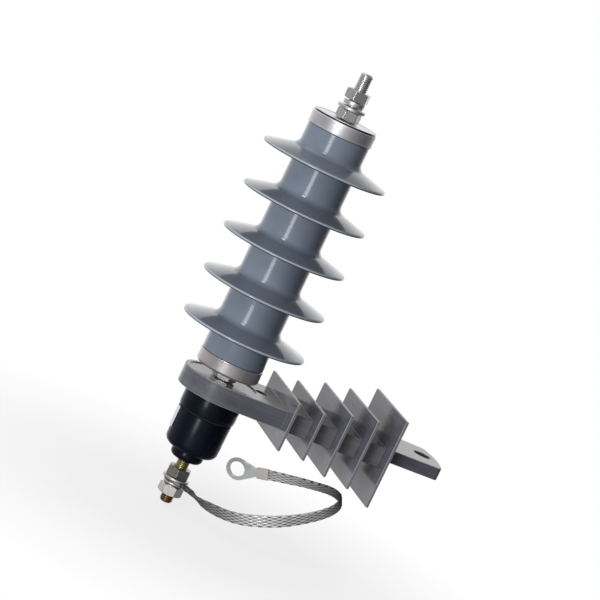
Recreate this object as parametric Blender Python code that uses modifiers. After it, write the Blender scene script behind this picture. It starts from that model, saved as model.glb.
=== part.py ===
"""Distribution surge arrester on a moulded insulating bracket, with its disconnector and earth lead.

Metres, +Z up. The arrester's axis is upright and the bracket's arm runs along +X.
The origin is on the upper face of the arm's tongue, beside the hole of the bolt that fixes it.
Every piece is placed from a point on the arrester's axis, level with the top of the bracket's boss.
"""

import math

import bmesh
import bpy
from mathutils import Matrix, Vector

# Clearances, and the fineness of round shapes
GAP = 0.0003
OVERRUN = 0.004
THREAD_CLEARANCE = 0.0004
HOLE_CLEARANCE = 0.0006
LARGE_ROUND_STEPS = 32
ROUND_STEPS = 24
SMALL_ROUND_STEPS = 18
MERGE_DISTANCE = 0.00001

# Silicone housing
BODY_RADIUS = 0.025
HOUSING_WALL = 0.0042
SHED_COUNT = 5
SHED_OVERHANG = 0.025
SHED_PITCH = 0.0353
LOWEST_SHED_RISE = 0.0204
HIGHEST_SHED_DROP = 0.0259
SHED_RIM = 0.0022
SHED_TOP_SLOPE = math.radians(15.5)
SHED_UNDER_SLOPE = math.radians(5.0)
SHED_TOP_FILLET = 0.006
SHED_UNDER_FILLET = 0.003

# Fibreglass tube and the stack inside it
TUBE_WALL = 0.0025
DISC_COUNT = 5
DISC_CLEARANCE = 0.0014
SPACER_HEIGHT = 0.0222
CONTACT_PLATE_HEIGHT = 0.0015
SPRING_INSET = 0.0015
SPRING_WIDTH = 0.0075
SPRING_THICKNESS = 0.0015
SPRING_CONE = 0.0012

# End caps
TOP_CAP_OVERHANG = 0.0008
TOP_CAP_HEIGHT = 0.0114
TOP_CAP_STEP = 0.0006
TOP_CAP_RIM_HEIGHT = 0.0013
TOP_CAP_RIM_WIDTH = 0.0016
TOP_CAP_DISH = 0.0003
BOTTOM_CAP_OVERHANG = 0.0004
BOTTOM_CAP_HEIGHT = 0.0108
BOTTOM_CAP_CHAMFER = 0.0016
CAP_PLUG_LENGTH = 0.012
CAP_GAP = 0.0057

# Studs, nuts and washers
STUD_RADIUS = 0.005
STUD_CHAMFER = 0.0012
STUD_ENGAGEMENT = 0.012
LINE_STUD_REACH = 0.0378
NUT_ACROSS_FLATS = 0.0170
NUT_HEIGHT = 0.0080
NUT_CHAMFER = 0.0009
NUT_CHAMFER_SLOPE = math.radians(30)
SEAT_NUT_TURN = math.radians(11.0)
LOWER_NUT_TURN = math.radians(23.0)
UPPER_NUT_TURN = math.radians(31.0)
LINE_WASHER_RADIUS = 0.0110
LINE_WASHER_THICKNESS = 0.0022
SPRING_WASHER_WIDTH = 0.0028
SPRING_WASHER_THICKNESS = 0.0022
SPRING_WASHER_LIFT = 0.0026
SPRING_WASHER_SPLIT = math.radians(14.0)

# Moulded bracket: boss, arm, barrier fins and tongue
BOSS_RADIUS = 0.031
BOSS_HEIGHT = 0.015
BOSS_RIM_WIDTH = 0.0037
BOSS_DISH_DEPTH = 0.0007
ARM_RISE = 0.0025
ARM_LEVEL_LENGTH = 0.016
ARM_END_HALF_WIDTH = 0.0290
ARM_END_THICKNESS = 0.0165
ARM_HOLE_RADIUS = 0.0048
ARM_HOLE_WEB = 0.0005
FIN_COUNT = 5
FIN_PLACE = 0.0496
FIN_PITCH = 0.021
FIN_WIDTH = 0.087
FIN_THICKNESS = 0.0024
FIN_RISE = 0.030
FIN_DROP = 0.043
FIN_RISE_SHARES = (0.40, 0.40, 0.62, 0.73, 1.00)
FIN_DROP_SHARES = (0.64, 0.64, 0.77, 0.82, 1.00)
TONGUE_LENGTH = 0.0520
TONGUE_THICKNESS = 0.010
TONGUE_END_HALF_WIDTH = 0.0255
TONGUE_END_BULGE = 0.003
TONGUE_CORNER = 0.004
BOLT_HOLE_RADIUS = 0.007
BOLT_HOLE_INSET = 0.0135
SEAT_INSET = 0.0305

# Disconnector
LID_RADIUS = 0.0226
LID_HEIGHT = 0.0151
LID_TOP = 0.004
LID_WALL = 0.0032
CUP_RADIUS = 0.0216
CUP_LENGTH = 0.0300
CUP_WALL = 0.0040
CUP_FLOOR = 0.0045
CUP_FILLET = 0.0085
NOSE_RADIUS = 0.0130
NOSE_LENGTH = 0.0075
NOSE_FILLET = 0.0045
SPIGOT_HEIGHT = 0.006
SEAL_THICKNESS = 0.0008
INSERT_RADIUS = 0.0085
PLATE_RADIUS = 0.0140
PLATE_THICKNESS = 0.002
RESISTOR_RADIUS = 0.0065
CARTRIDGE_RADIUS = 0.0045
ELEMENT_SPACING = 0.0125
EARTH_HEAD_RADIUS = 0.0125
EARTH_HEAD_THICKNESS = 0.003
LABEL_THICKNESS = 0.0002
LABEL_HEIGHT = 0.017
LABEL_CENTRE = math.radians(143.0)
LABEL_SPREAD = math.radians(88.0)

# Earth terminal and lead
EARTH_STUD_REACH = 0.0362
EARTH_NUT_DROP = 0.0070
INNER_NUT_TURN = math.radians(41.0)
OUTER_NUT_TURN = math.radians(11.0)
EARTH_WASHER_RADIUS = 0.0108
EARTH_WASHER_THICKNESS = 0.0018
EARTH_SPRING_WASHER_THICKNESS = 0.0019
LUG_THICKNESS = 0.0016
FIXED_LUG_RADIUS = 0.0088
FREE_LUG_RADIUS = 0.0093
FREE_LUG_HOLE = 0.0062
FREE_LUG_NECK_LENGTH = 0.0168
FREE_LUG_NECK_WIDTH = 0.0064
CRIMP_LENGTH = 0.0096
CRIMP_WIDTH = 0.0091
CRIMP_HEIGHT = 0.0036
CRIMP_CORNER = 0.0012
STRAP_WIDTH = 0.0085
STRAP_THICKNESS = 0.0022
STRAP_TWIST_LENGTH = 0.040
STRAP_STEPS_PER_POINT = 2

# The lead's loop leans by this angle, about +Y, from the level
LEAD_PLANE_LEAN = math.radians(25.5)
# The strap's centre line, from the fixed lug to the free lug, measured from the axis and the boss's top
LEAD_ROUTE = (
    (0.0056, -0.0099, -0.0875),
    (0.0090, -0.0159, -0.0877),
    (0.0126, -0.0227, -0.0885),
    (0.0175, -0.0301, -0.0889),
    (0.0239, -0.0385, -0.0882),
    (0.0311, -0.0478, -0.0866),
    (0.0392, -0.0568, -0.0836),
    (0.0479, -0.0637, -0.0794),
    (0.0569, -0.0681, -0.0750),
    (0.0663, -0.0698, -0.0706),
    (0.0760, -0.0690, -0.0660),
    (0.0863, -0.0663, -0.0611),
    (0.0967, -0.0614, -0.0562),
    (0.1057, -0.0540, -0.0519),
    (0.1124, -0.0440, -0.0486),
    (0.1156, -0.0327, -0.0470),
    (0.1156, -0.0212, -0.0471),
    (0.1124, -0.0107, -0.0486),
    (0.1058, -0.0005, -0.0516),
    (0.0976, 0.0087, -0.0549),
    (0.0888, 0.0166, -0.0584),
    (0.0803, 0.0234, -0.0616),
    (0.0764, 0.0263, -0.0631),
)

# Radii of what nests in, on or under the housing
TUBE_RADIUS = BODY_RADIUS - HOUSING_WALL - GAP
PLUG_RADIUS = TUBE_RADIUS - TUBE_WALL - GAP
DISC_RADIUS = TUBE_RADIUS - TUBE_WALL - DISC_CLEARANCE
SPRING_RADIUS = DISC_RADIUS - SPRING_INSET
TOP_CAP_RADIUS = BODY_RADIUS + TOP_CAP_OVERHANG
BOTTOM_CAP_RADIUS = BODY_RADIUS + BOTTOM_CAP_OVERHANG
NUT_CORNER_RADIUS = NUT_ACROSS_FLATS / 2 / math.cos(math.pi / 6)
THREAD_BORE = STUD_RADIUS + THREAD_CLEARANCE
STUD_HOLE = STUD_RADIUS + HOLE_CLEARANCE

# Levels along the axis, from the top of the bracket's boss
BOTTOM_CAP_FOOT = CAP_GAP
BOTTOM_CAP_TOP = BOTTOM_CAP_FOOT + BOTTOM_CAP_HEIGHT
HOUSING_FOOT = BOTTOM_CAP_TOP + GAP
HOUSING_TOP = HOUSING_FOOT + LOWEST_SHED_RISE + SHED_PITCH * (SHED_COUNT - 1) + HIGHEST_SHED_DROP
TOP_CAP_FOOT = HOUSING_TOP + GAP
TOP_CAP_TOP = TOP_CAP_FOOT + TOP_CAP_HEIGHT
NUT_SEAT = TOP_CAP_TOP - TOP_CAP_DISH
LINE_TIP = TOP_CAP_TOP + LINE_STUD_REACH
STACK_FOOT = BOTTOM_CAP_TOP + CAP_PLUG_LENGTH + GAP
STACK_TOP = TOP_CAP_FOOT - CAP_PLUG_LENGTH - GAP
SPRING_HEIGHT = SPRING_THICKNESS + SPRING_CONE
SPACER_FOOT = STACK_TOP - SPACER_HEIGHT
DISCS_TOP = SPACER_FOOT - 2 * (SPRING_HEIGHT + GAP) - CONTACT_PLATE_HEIGHT - GAP
DISCS_FOOT = STACK_FOOT + CONTACT_PLATE_HEIGHT + GAP
DISC_PITCH = (DISCS_TOP - DISCS_FOOT) / DISC_COUNT
BOSS_FOOT = -BOSS_HEIGHT
LID_CEILING = BOSS_FOOT - GAP
LID_FOOT = LID_CEILING - LID_HEIGHT
SEAL_TOP = LID_FOOT - GAP
CUP_TOP = SEAL_TOP - SEAL_THICKNESS - GAP
CUP_FOOT = CUP_TOP - CUP_LENGTH
NOSE_FOOT = CUP_FOOT - NOSE_LENGTH
EARTH_TIP = NOSE_FOOT - EARTH_STUD_REACH
CUP_FLOOR_TOP = CUP_FOOT + CUP_FLOOR

# Places along the arm, from the axis
LAST_FIN_PLACE = FIN_PLACE + FIN_PITCH * (FIN_COUNT - 1)
TONGUE_START = LAST_FIN_PLACE + FIN_THICKNESS / 2
TONGUE_END = TONGUE_START + TONGUE_LENGTH
BOLT_HOLE_PLACE = TONGUE_END - BOLT_HOLE_INSET
SEAT_PLACE = TONGUE_END - SEAT_INSET
BOSS_DISH_RADIUS = BOSS_RADIUS - BOSS_RIM_WIDTH
ARM_HOLE_PLACE = BOSS_DISH_RADIUS + ARM_HOLE_WEB + ARM_HOLE_RADIUS


def clear_scene():
    for old in list(bpy.data.objects):
        bpy.data.objects.remove(old, do_unlink=True)


def new_collection(name):
    collection = bpy.data.collections.new(name)
    bpy.context.scene.collection.children.link(collection)
    return collection


clear_scene()
PARTS = new_collection("surge_arrester")
CUTTERS = new_collection("cutters")

AXIS = bpy.data.objects.new("arrester_axis", None)
AXIS.location = (-SEAT_PLACE, 0, -ARM_RISE)
PARTS.objects.link(AXIS)


def new_material(name, colour, roughness, metallic=0.0):
    material = bpy.data.materials.new(name)
    material.use_nodes = True
    shader = material.node_tree.nodes["Principled BSDF"]
    shader.inputs["Base Color"].default_value = (*colour, 1.0)
    shader.inputs["Roughness"].default_value = roughness
    shader.inputs["Metallic"].default_value = metallic
    material.diffuse_color = (*colour, 1.0)
    return material


SILICONE = new_material("grey_silicone", (0.17, 0.20, 0.24), 0.35)
MOULDING = new_material("grey_moulding", (0.11, 0.11, 0.12), 0.50)
BLACK_PLASTIC = new_material("black_plastic", (0.010, 0.011, 0.014), 0.25)
ALUMINIUM = new_material("aluminium", (0.72, 0.70, 0.69), 0.30, 1.0)
ZINC_PLATE = new_material("zinc_plate", (0.60, 0.60, 0.60), 0.30, 1.0)
YELLOW_PLATE = new_material("yellow_plate", (0.62, 0.52, 0.26), 0.30, 1.0)
TINNED_COPPER = new_material("tinned_copper", (0.55, 0.54, 0.52), 0.35, 1.0)
SPRING_STEEL = new_material("spring_steel", (0.35, 0.35, 0.36), 0.35, 1.0)
VARISTOR_CERAMIC = new_material("varistor_ceramic", (0.06, 0.06, 0.065), 0.60)
FIBREGLASS = new_material("fibreglass", (0.50, 0.45, 0.25), 0.50)
SEAL_RUBBER = new_material("seal_rubber", (0.012, 0.012, 0.012), 0.70)
RESISTOR_CERAMIC = new_material("resistor_ceramic", (0.70, 0.66, 0.58), 0.50)
LABEL_FILM = new_material("label_film", (0.85, 0.85, 0.85), 0.45)


def shade_round(mesh):
    mesh.shade_smooth()
    mesh.set_sharp_from_angle(angle=math.radians(32))


def place(name, mesh, material):
    """Adds a piece to the axis's frame; without a material it is a cutter, which a render leaves out."""
    piece = bpy.data.objects.new(name, mesh)
    piece.parent = AXIS
    if material is None:
        CUTTERS.objects.link(piece)
        piece.hide_render = True
        piece.display_type = "WIRE"
    else:
        PARTS.objects.link(piece)
        mesh.materials.append(material)
    return piece


def turned(name, profile, material, steps=ROUND_STEPS, ring=True):
    """Turns a profile of (radius, height) points about the axis.

    A ring's profile is a loop that runs down its outer side. A solid's profile starts and ends on the axis.
    """
    mesh = bpy.data.meshes.new(name)
    points = [(radius, 0, height) for radius, height in profile]
    edges = [(index, index + 1) for index in range(len(points) - 1)]
    if ring:
        edges.append((len(points) - 1, 0))
    mesh.from_pydata(points, edges, [])
    piece = place(name, mesh, material)
    screw = piece.modifiers.new("turn", "SCREW")
    screw.steps = steps
    screw.render_steps = steps
    screw.use_merge_vertices = True
    screw.merge_threshold = MERGE_DISTANCE
    screw.use_smooth_shade = True
    return piece


def arc(centre, radius, start, end, segments):
    """Points of an arc in a profile, from the angle start to the angle end, in degrees."""
    points = []
    for index in range(segments + 1):
        angle = math.radians(start + (end - start) * index / segments)
        points.append((centre[0] + radius * math.cos(angle), centre[1] + radius * math.sin(angle)))
    return points


def ring_profile(inner, outer, foot, top, chamfer=0.0):
    """A flat ring's section, running down its outer side."""
    outside = [(outer - chamfer, top), (outer, top - chamfer), (outer, foot + chamfer), (outer - chamfer, foot)]
    if chamfer == 0.0:
        outside = [(outer, top), (outer, foot)]
    return [(inner, top)] + outside + [(inner, foot)]


def rod_profile(radius, foot, top, foot_chamfer=0.0, top_chamfer=0.0):
    """A round bar's half section, from the top of the axis to its foot."""
    profile = [(0, top), (radius - top_chamfer, top)]
    if top_chamfer:
        profile.append((radius, top - top_chamfer))
    if foot_chamfer:
        profile.append((radius, foot + foot_chamfer))
    profile += [(radius - foot_chamfer, foot), (0, foot)]
    return profile


def cut(piece, cutter, operation="DIFFERENCE"):
    boolean = piece.modifiers.new(cutter.name, "BOOLEAN")
    boolean.operation = operation
    boolean.solver = "EXACT"
    boolean.object = cutter


def box_mesh(name, low, high):
    shape = bmesh.new()
    bmesh.ops.create_cube(shape, size=1)
    middle = (Vector(low) + Vector(high)) / 2
    size = Vector(high) - Vector(low)
    bmesh.ops.scale(shape, vec=size, verts=shape.verts)
    bmesh.ops.translate(shape, vec=middle, verts=shape.verts)
    mesh = bpy.data.meshes.new(name)
    shape.to_mesh(mesh)
    shape.free()
    return mesh


def flat_outline_mesh(name, outline, thickness):
    """A closed outline in the XY plane as a plate, centred on that plane."""
    curve = bpy.data.curves.new(name + "_outline", "CURVE")
    curve.dimensions = "2D"
    curve.fill_mode = "BOTH"
    curve.extrude = thickness / 2
    spline = curve.splines.new("POLY")
    spline.points.add(len(outline) - 1)
    for point, (across, along) in zip(spline.points, outline):
        point.co = (across, along, 0, 1)
    spline.use_cyclic_u = True
    carrier = bpy.data.objects.new(name + "_outline", curve)
    bpy.context.scene.collection.objects.link(carrier)
    bpy.context.view_layer.update()
    graph = bpy.context.evaluated_depsgraph_get()
    mesh = bpy.data.meshes.new_from_object(carrier.evaluated_get(graph))
    bpy.data.objects.remove(carrier)
    shape = bmesh.new()
    shape.from_mesh(mesh)
    bmesh.ops.remove_doubles(shape, verts=shape.verts, dist=MERGE_DISTANCE)
    bmesh.ops.recalc_face_normals(shape, faces=shape.faces)
    shape.to_mesh(mesh)
    shape.free()
    mesh.name = name
    mesh.materials.clear()
    return mesh


def bore_cutter(name, radius, foot, top, place_x=0.0, steps=ROUND_STEPS):
    cutter = turned(name, rod_profile(radius, foot, top), None, steps, ring=False)
    cutter.location = (place_x, 0, 0)
    return cutter


def shed_outline(rim_height):
    """One shed from its upper fillet, over its rounded rim, to its lower fillet."""
    half_rim = SHED_RIM / 2
    rim_centre = BODY_RADIUS + SHED_OVERHANG - half_rim
    upper, lower = SHED_TOP_SLOPE, SHED_UNDER_SLOPE
    upper_run = rim_centre + half_rim * math.sin(upper) - BODY_RADIUS
    upper_root = rim_height + half_rim * math.cos(upper) + upper_run * math.tan(upper)
    upper_centre = upper_root - SHED_TOP_FILLET * math.tan(upper) + SHED_TOP_FILLET / math.cos(upper)
    lower_run = rim_centre - half_rim * math.sin(lower) - BODY_RADIUS
    lower_root = rim_height - half_rim * math.cos(lower) + lower_run * math.tan(lower)
    lower_centre = lower_root - SHED_UNDER_FILLET * (math.tan(lower) + 1 / math.cos(lower))
    points = arc((BODY_RADIUS + SHED_TOP_FILLET, upper_centre), SHED_TOP_FILLET, 180, 270 - math.degrees(upper), 4)
    points += arc((rim_centre, rim_height), half_rim, 90 - math.degrees(upper), -90 - math.degrees(lower), 4)
    under = arc((BODY_RADIUS + SHED_UNDER_FILLET, lower_centre), SHED_UNDER_FILLET, 90 - math.degrees(lower), 180, 2)
    return points + under


def make_housing():
    bore = BODY_RADIUS - HOUSING_WALL
    profile = [(bore, HOUSING_TOP), (BODY_RADIUS, HOUSING_TOP)]
    for index in reversed(range(SHED_COUNT)):
        profile += shed_outline(HOUSING_FOOT + LOWEST_SHED_RISE + SHED_PITCH * index)
    profile += [(BODY_RADIUS, HOUSING_FOOT), (bore, HOUSING_FOOT)]
    turned("silicone_housing", profile, SILICONE, LARGE_ROUND_STEPS)


def make_plate(name, radius, foot, top, material):
    """A plain round plate or bar on the axis."""
    turned(name, rod_profile(radius, foot, top), material, ring=False)


def make_stack():
    """The fibreglass tube with the varistor column, its contact plates, disc springs and spacer."""
    tube = ring_profile(TUBE_RADIUS - TUBE_WALL, TUBE_RADIUS, HOUSING_FOOT, HOUSING_TOP)
    turned("fibreglass_tube", tube, FIBREGLASS, LARGE_ROUND_STEPS)
    make_plate("lower_contact_plate", DISC_RADIUS, STACK_FOOT, DISCS_FOOT - GAP, ALUMINIUM)
    for index in range(DISC_COUNT):
        foot = DISCS_FOOT + DISC_PITCH * index
        name = f"varistor_disc_{index + 1}"
        make_plate(name, DISC_RADIUS, foot, foot + DISC_PITCH - GAP, VARISTOR_CERAMIC)
    plate_top = DISCS_TOP + CONTACT_PLATE_HEIGHT
    make_plate("upper_contact_plate", DISC_RADIUS, DISCS_TOP, plate_top, ALUMINIUM)
    for index, name in enumerate(("lower_disc_spring", "upper_disc_spring")):
        foot = plate_top + GAP + (SPRING_HEIGHT + GAP) * index
        rim, hub = (foot, foot + SPRING_CONE) if index == 0 else (foot + SPRING_CONE, foot)
        section = [
            (SPRING_RADIUS - SPRING_WIDTH, hub + SPRING_THICKNESS),
            (SPRING_RADIUS, rim + SPRING_THICKNESS),
            (SPRING_RADIUS, rim),
            (SPRING_RADIUS - SPRING_WIDTH, hub),
        ]
        turned(name, section, SPRING_STEEL)
    make_plate("aluminium_spacer", DISC_RADIUS, SPACER_FOOT, STACK_TOP, ALUMINIUM)


def make_caps():
    """The turned end caps, each with a plug in the tube and a blind tapped hole."""
    rim_radius = TOP_CAP_RADIUS - TOP_CAP_STEP
    step_level = TOP_CAP_TOP - TOP_CAP_RIM_HEIGHT
    hole_foot = NUT_SEAT - STUD_ENGAGEMENT - GAP
    top_profile = [
        (0, hole_foot),
        (THREAD_BORE, hole_foot),
        (THREAD_BORE, NUT_SEAT),
        (rim_radius - TOP_CAP_RIM_WIDTH - TOP_CAP_DISH, NUT_SEAT),
        (rim_radius - TOP_CAP_RIM_WIDTH, TOP_CAP_TOP),
        (rim_radius, TOP_CAP_TOP),
        (rim_radius, step_level),
        (TOP_CAP_RADIUS, step_level - TOP_CAP_STEP),
        (TOP_CAP_RADIUS, TOP_CAP_FOOT),
        (PLUG_RADIUS, TOP_CAP_FOOT),
        (PLUG_RADIUS, TOP_CAP_FOOT - CAP_PLUG_LENGTH),
        (0, TOP_CAP_FOOT - CAP_PLUG_LENGTH),
    ]
    turned("top_cap", top_profile, ALUMINIUM, LARGE_ROUND_STEPS, ring=False)
    hole_top = BOTTOM_CAP_FOOT + STUD_ENGAGEMENT + GAP
    bottom_profile = [
        (0, BOTTOM_CAP_TOP + CAP_PLUG_LENGTH),
        (PLUG_RADIUS, BOTTOM_CAP_TOP + CAP_PLUG_LENGTH),
        (PLUG_RADIUS, BOTTOM_CAP_TOP),
        (BOTTOM_CAP_RADIUS, BOTTOM_CAP_TOP),
        (BOTTOM_CAP_RADIUS, BOTTOM_CAP_FOOT + BOTTOM_CAP_CHAMFER),
        (BOTTOM_CAP_RADIUS - BOTTOM_CAP_CHAMFER, BOTTOM_CAP_FOOT),
        (THREAD_BORE, BOTTOM_CAP_FOOT),
        (THREAD_BORE, hole_top),
        (0, hole_top),
    ]
    turned("bottom_cap", bottom_profile, ALUMINIUM, LARGE_ROUND_STEPS, ring=False)


def make_nut(name, foot, height, turn, material):
    """A hexagon nut: a six-sided bar within a turned ring that chamfers its corners."""
    shape = bmesh.new()
    bmesh.ops.create_cone(
        shape,
        cap_ends=True,
        segments=6,
        radius1=NUT_CORNER_RADIUS,
        radius2=NUT_CORNER_RADIUS,
        depth=height,
    )
    bmesh.ops.translate(shape, vec=(0, 0, foot + height / 2), verts=shape.verts)
    mesh = bpy.data.meshes.new(name)
    shape.to_mesh(mesh)
    shape.free()
    nut = place(name, mesh, material)
    reach = NUT_CORNER_RADIUS + NUT_CHAMFER
    face = NUT_CORNER_RADIUS - NUT_CHAMFER
    fall = (reach - face) * math.tan(NUT_CHAMFER_SLOPE)
    top = foot + height
    section = [
        (THREAD_BORE, top + OVERRUN),
        (face, top + OVERRUN),
        (face, top),
        (reach, top - fall),
        (reach, foot + fall),
        (face, foot),
        (face, foot - OVERRUN),
        (THREAD_BORE, foot - OVERRUN),
    ]
    chamfers = turned(name + "_chamfers", section, None, SMALL_ROUND_STEPS)
    cut(nut, chamfers, "INTERSECT")
    for piece in (nut, chamfers):
        piece.rotation_euler = (0, 0, turn)


def make_spring_washer(name, foot, thickness, lift, material):
    """A split ring of rectangular section whose ends stand apart by the lift."""
    shape = bmesh.new()
    rim = THREAD_BORE + SPRING_WASHER_WIDTH
    corners = []
    for radius, height in (
        (THREAD_BORE, foot),
        (rim, foot),
        (rim, foot + thickness),
        (THREAD_BORE, foot + thickness),
    ):
        corners.append(shape.verts.new((radius, 0, height)))
    section = shape.faces.new(corners)
    sweep = 2 * math.pi - SPRING_WASHER_SPLIT
    bmesh.ops.spin(
        shape,
        geom=[section, *section.edges, *section.verts],
        axis=(0, 0, 1),
        cent=(0, 0, 0),
        dvec=(0, 0, lift / SMALL_ROUND_STEPS),
        angle=sweep,
        steps=SMALL_ROUND_STEPS,
        use_merge=False,
        use_duplicate=False,
    )
    bmesh.ops.recalc_face_normals(shape, faces=shape.faces)
    mesh = bpy.data.meshes.new(name)
    shape.to_mesh(mesh)
    shape.free()
    place(name, mesh, material)


def make_line_terminal():
    """The line stud screwed into the top cap, with its two nuts, flat washer and spring washer."""
    stud = rod_profile(STUD_RADIUS, NUT_SEAT - STUD_ENGAGEMENT, LINE_TIP, top_chamfer=STUD_CHAMFER)
    turned("line_stud", stud, ZINC_PLATE, SMALL_ROUND_STEPS, ring=False)
    level = NUT_SEAT + GAP
    make_nut("line_lower_nut", level, NUT_HEIGHT, LOWER_NUT_TURN, ZINC_PLATE)
    level += NUT_HEIGHT + GAP
    washer = ring_profile(STUD_HOLE, LINE_WASHER_RADIUS, level, level + LINE_WASHER_THICKNESS)
    turned("line_flat_washer", washer, ZINC_PLATE)
    level += LINE_WASHER_THICKNESS + GAP
    make_spring_washer(
        "line_spring_washer",
        level,
        SPRING_WASHER_THICKNESS,
        SPRING_WASHER_LIFT,
        ZINC_PLATE,
    )
    level += SPRING_WASHER_THICKNESS + SPRING_WASHER_LIFT + GAP
    make_nut("line_upper_nut", level, NUT_HEIGHT, UPPER_NUT_TURN, ZINC_PLATE)


def bracket_plan():
    """Half of the plan goes round the boss and the rest along the arm to the tongue's bowed end."""
    bulge_centre = TONGUE_END - TONGUE_END_BULGE
    side = []
    for index in range(9):
        angle = math.pi - math.pi / 2 * index / 8
        side.append((BOSS_RADIUS * math.cos(angle), BOSS_RADIUS * math.sin(angle)))
    side.append((TONGUE_START, ARM_END_HALF_WIDTH))
    corner_x = bulge_centre - TONGUE_CORNER
    corner_y = TONGUE_END_HALF_WIDTH - TONGUE_CORNER
    side += arc((corner_x, corner_y), TONGUE_CORNER, 85, 15, 3)
    for share in (0.6, 0.3, 0.0):
        side.append((bulge_centre + TONGUE_END_BULGE * (1 - share**2), corner_y * share))
    other = [(across, -along) for across, along in reversed(side[:-1])]
    return side + other[:-1]


def bracket_side():
    """The arm's side view: level over the boss, rising gently to the last fin, then the thinner tongue."""
    back = -BOSS_RADIUS - OVERRUN
    front = TONGUE_END + OVERRUN
    return [
        (back, 0),
        (back, BOSS_FOOT),
        (ARM_LEVEL_LENGTH, BOSS_FOOT),
        (TONGUE_START, ARM_RISE - ARM_END_THICKNESS),
        (TONGUE_START, ARM_RISE - TONGUE_THICKNESS),
        (front, ARM_RISE - TONGUE_THICKNESS),
        (front, ARM_RISE),
        (TONGUE_START, ARM_RISE),
        (ARM_LEVEL_LENGTH, 0),
    ]


def make_bracket():
    """One moulding: the boss, the arm, five barrier fins and the bolted tongue."""
    depth = 2 * (FIN_RISE + FIN_DROP)
    bracket = place("insulating_bracket", flat_outline_mesh("bracket", bracket_plan(), depth), MOULDING)
    side_mesh = flat_outline_mesh("bracket_side", bracket_side(), FIN_WIDTH + OVERRUN)
    side_mesh.transform(Matrix.Rotation(math.pi / 2, 4, "X"))
    cut(bracket, place("bracket_side", side_mesh, None), "INTERSECT")
    for index in range(FIN_COUNT):
        middle = FIN_PLACE + FIN_PITCH * index
        low = (middle - FIN_THICKNESS / 2, -FIN_WIDTH / 2, -FIN_DROP * FIN_DROP_SHARES[index])
        high = (middle + FIN_THICKNESS / 2, FIN_WIDTH / 2, FIN_RISE * FIN_RISE_SHARES[index])
        name = f"bracket_fin_{index + 1}"
        cut(bracket, place(name, box_mesh(name, low, high), None), "UNION")
    reach = FIN_RISE + FIN_DROP
    cut(bracket, bore_cutter("boss_bore", STUD_HOLE, -reach, reach))
    cut(bracket, bore_cutter("boss_dish", BOSS_DISH_RADIUS, -BOSS_DISH_DEPTH, reach))
    cut(bracket, bore_cutter("arm_hole", ARM_HOLE_RADIUS, -reach, reach, ARM_HOLE_PLACE, SMALL_ROUND_STEPS))
    cut(bracket, bore_cutter("bolt_hole", BOLT_HOLE_RADIUS, -reach, reach, BOLT_HOLE_PLACE))


def make_coupling():
    """The stud through the boss, with the nut that clamps the bracket to the disconnector's insert."""
    foot = LID_CEILING - LID_TOP - SPIGOT_HEIGHT
    top = BOTTOM_CAP_FOOT + STUD_ENGAGEMENT
    turned("coupling_stud", rod_profile(STUD_RADIUS, foot, top), ZINC_PLATE, SMALL_ROUND_STEPS, ring=False)
    nut_foot = GAP - BOSS_DISH_DEPTH
    make_nut("seat_nut", nut_foot, BOTTOM_CAP_FOOT - GAP - nut_foot, SEAT_NUT_TURN, ZINC_PLATE)


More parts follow.
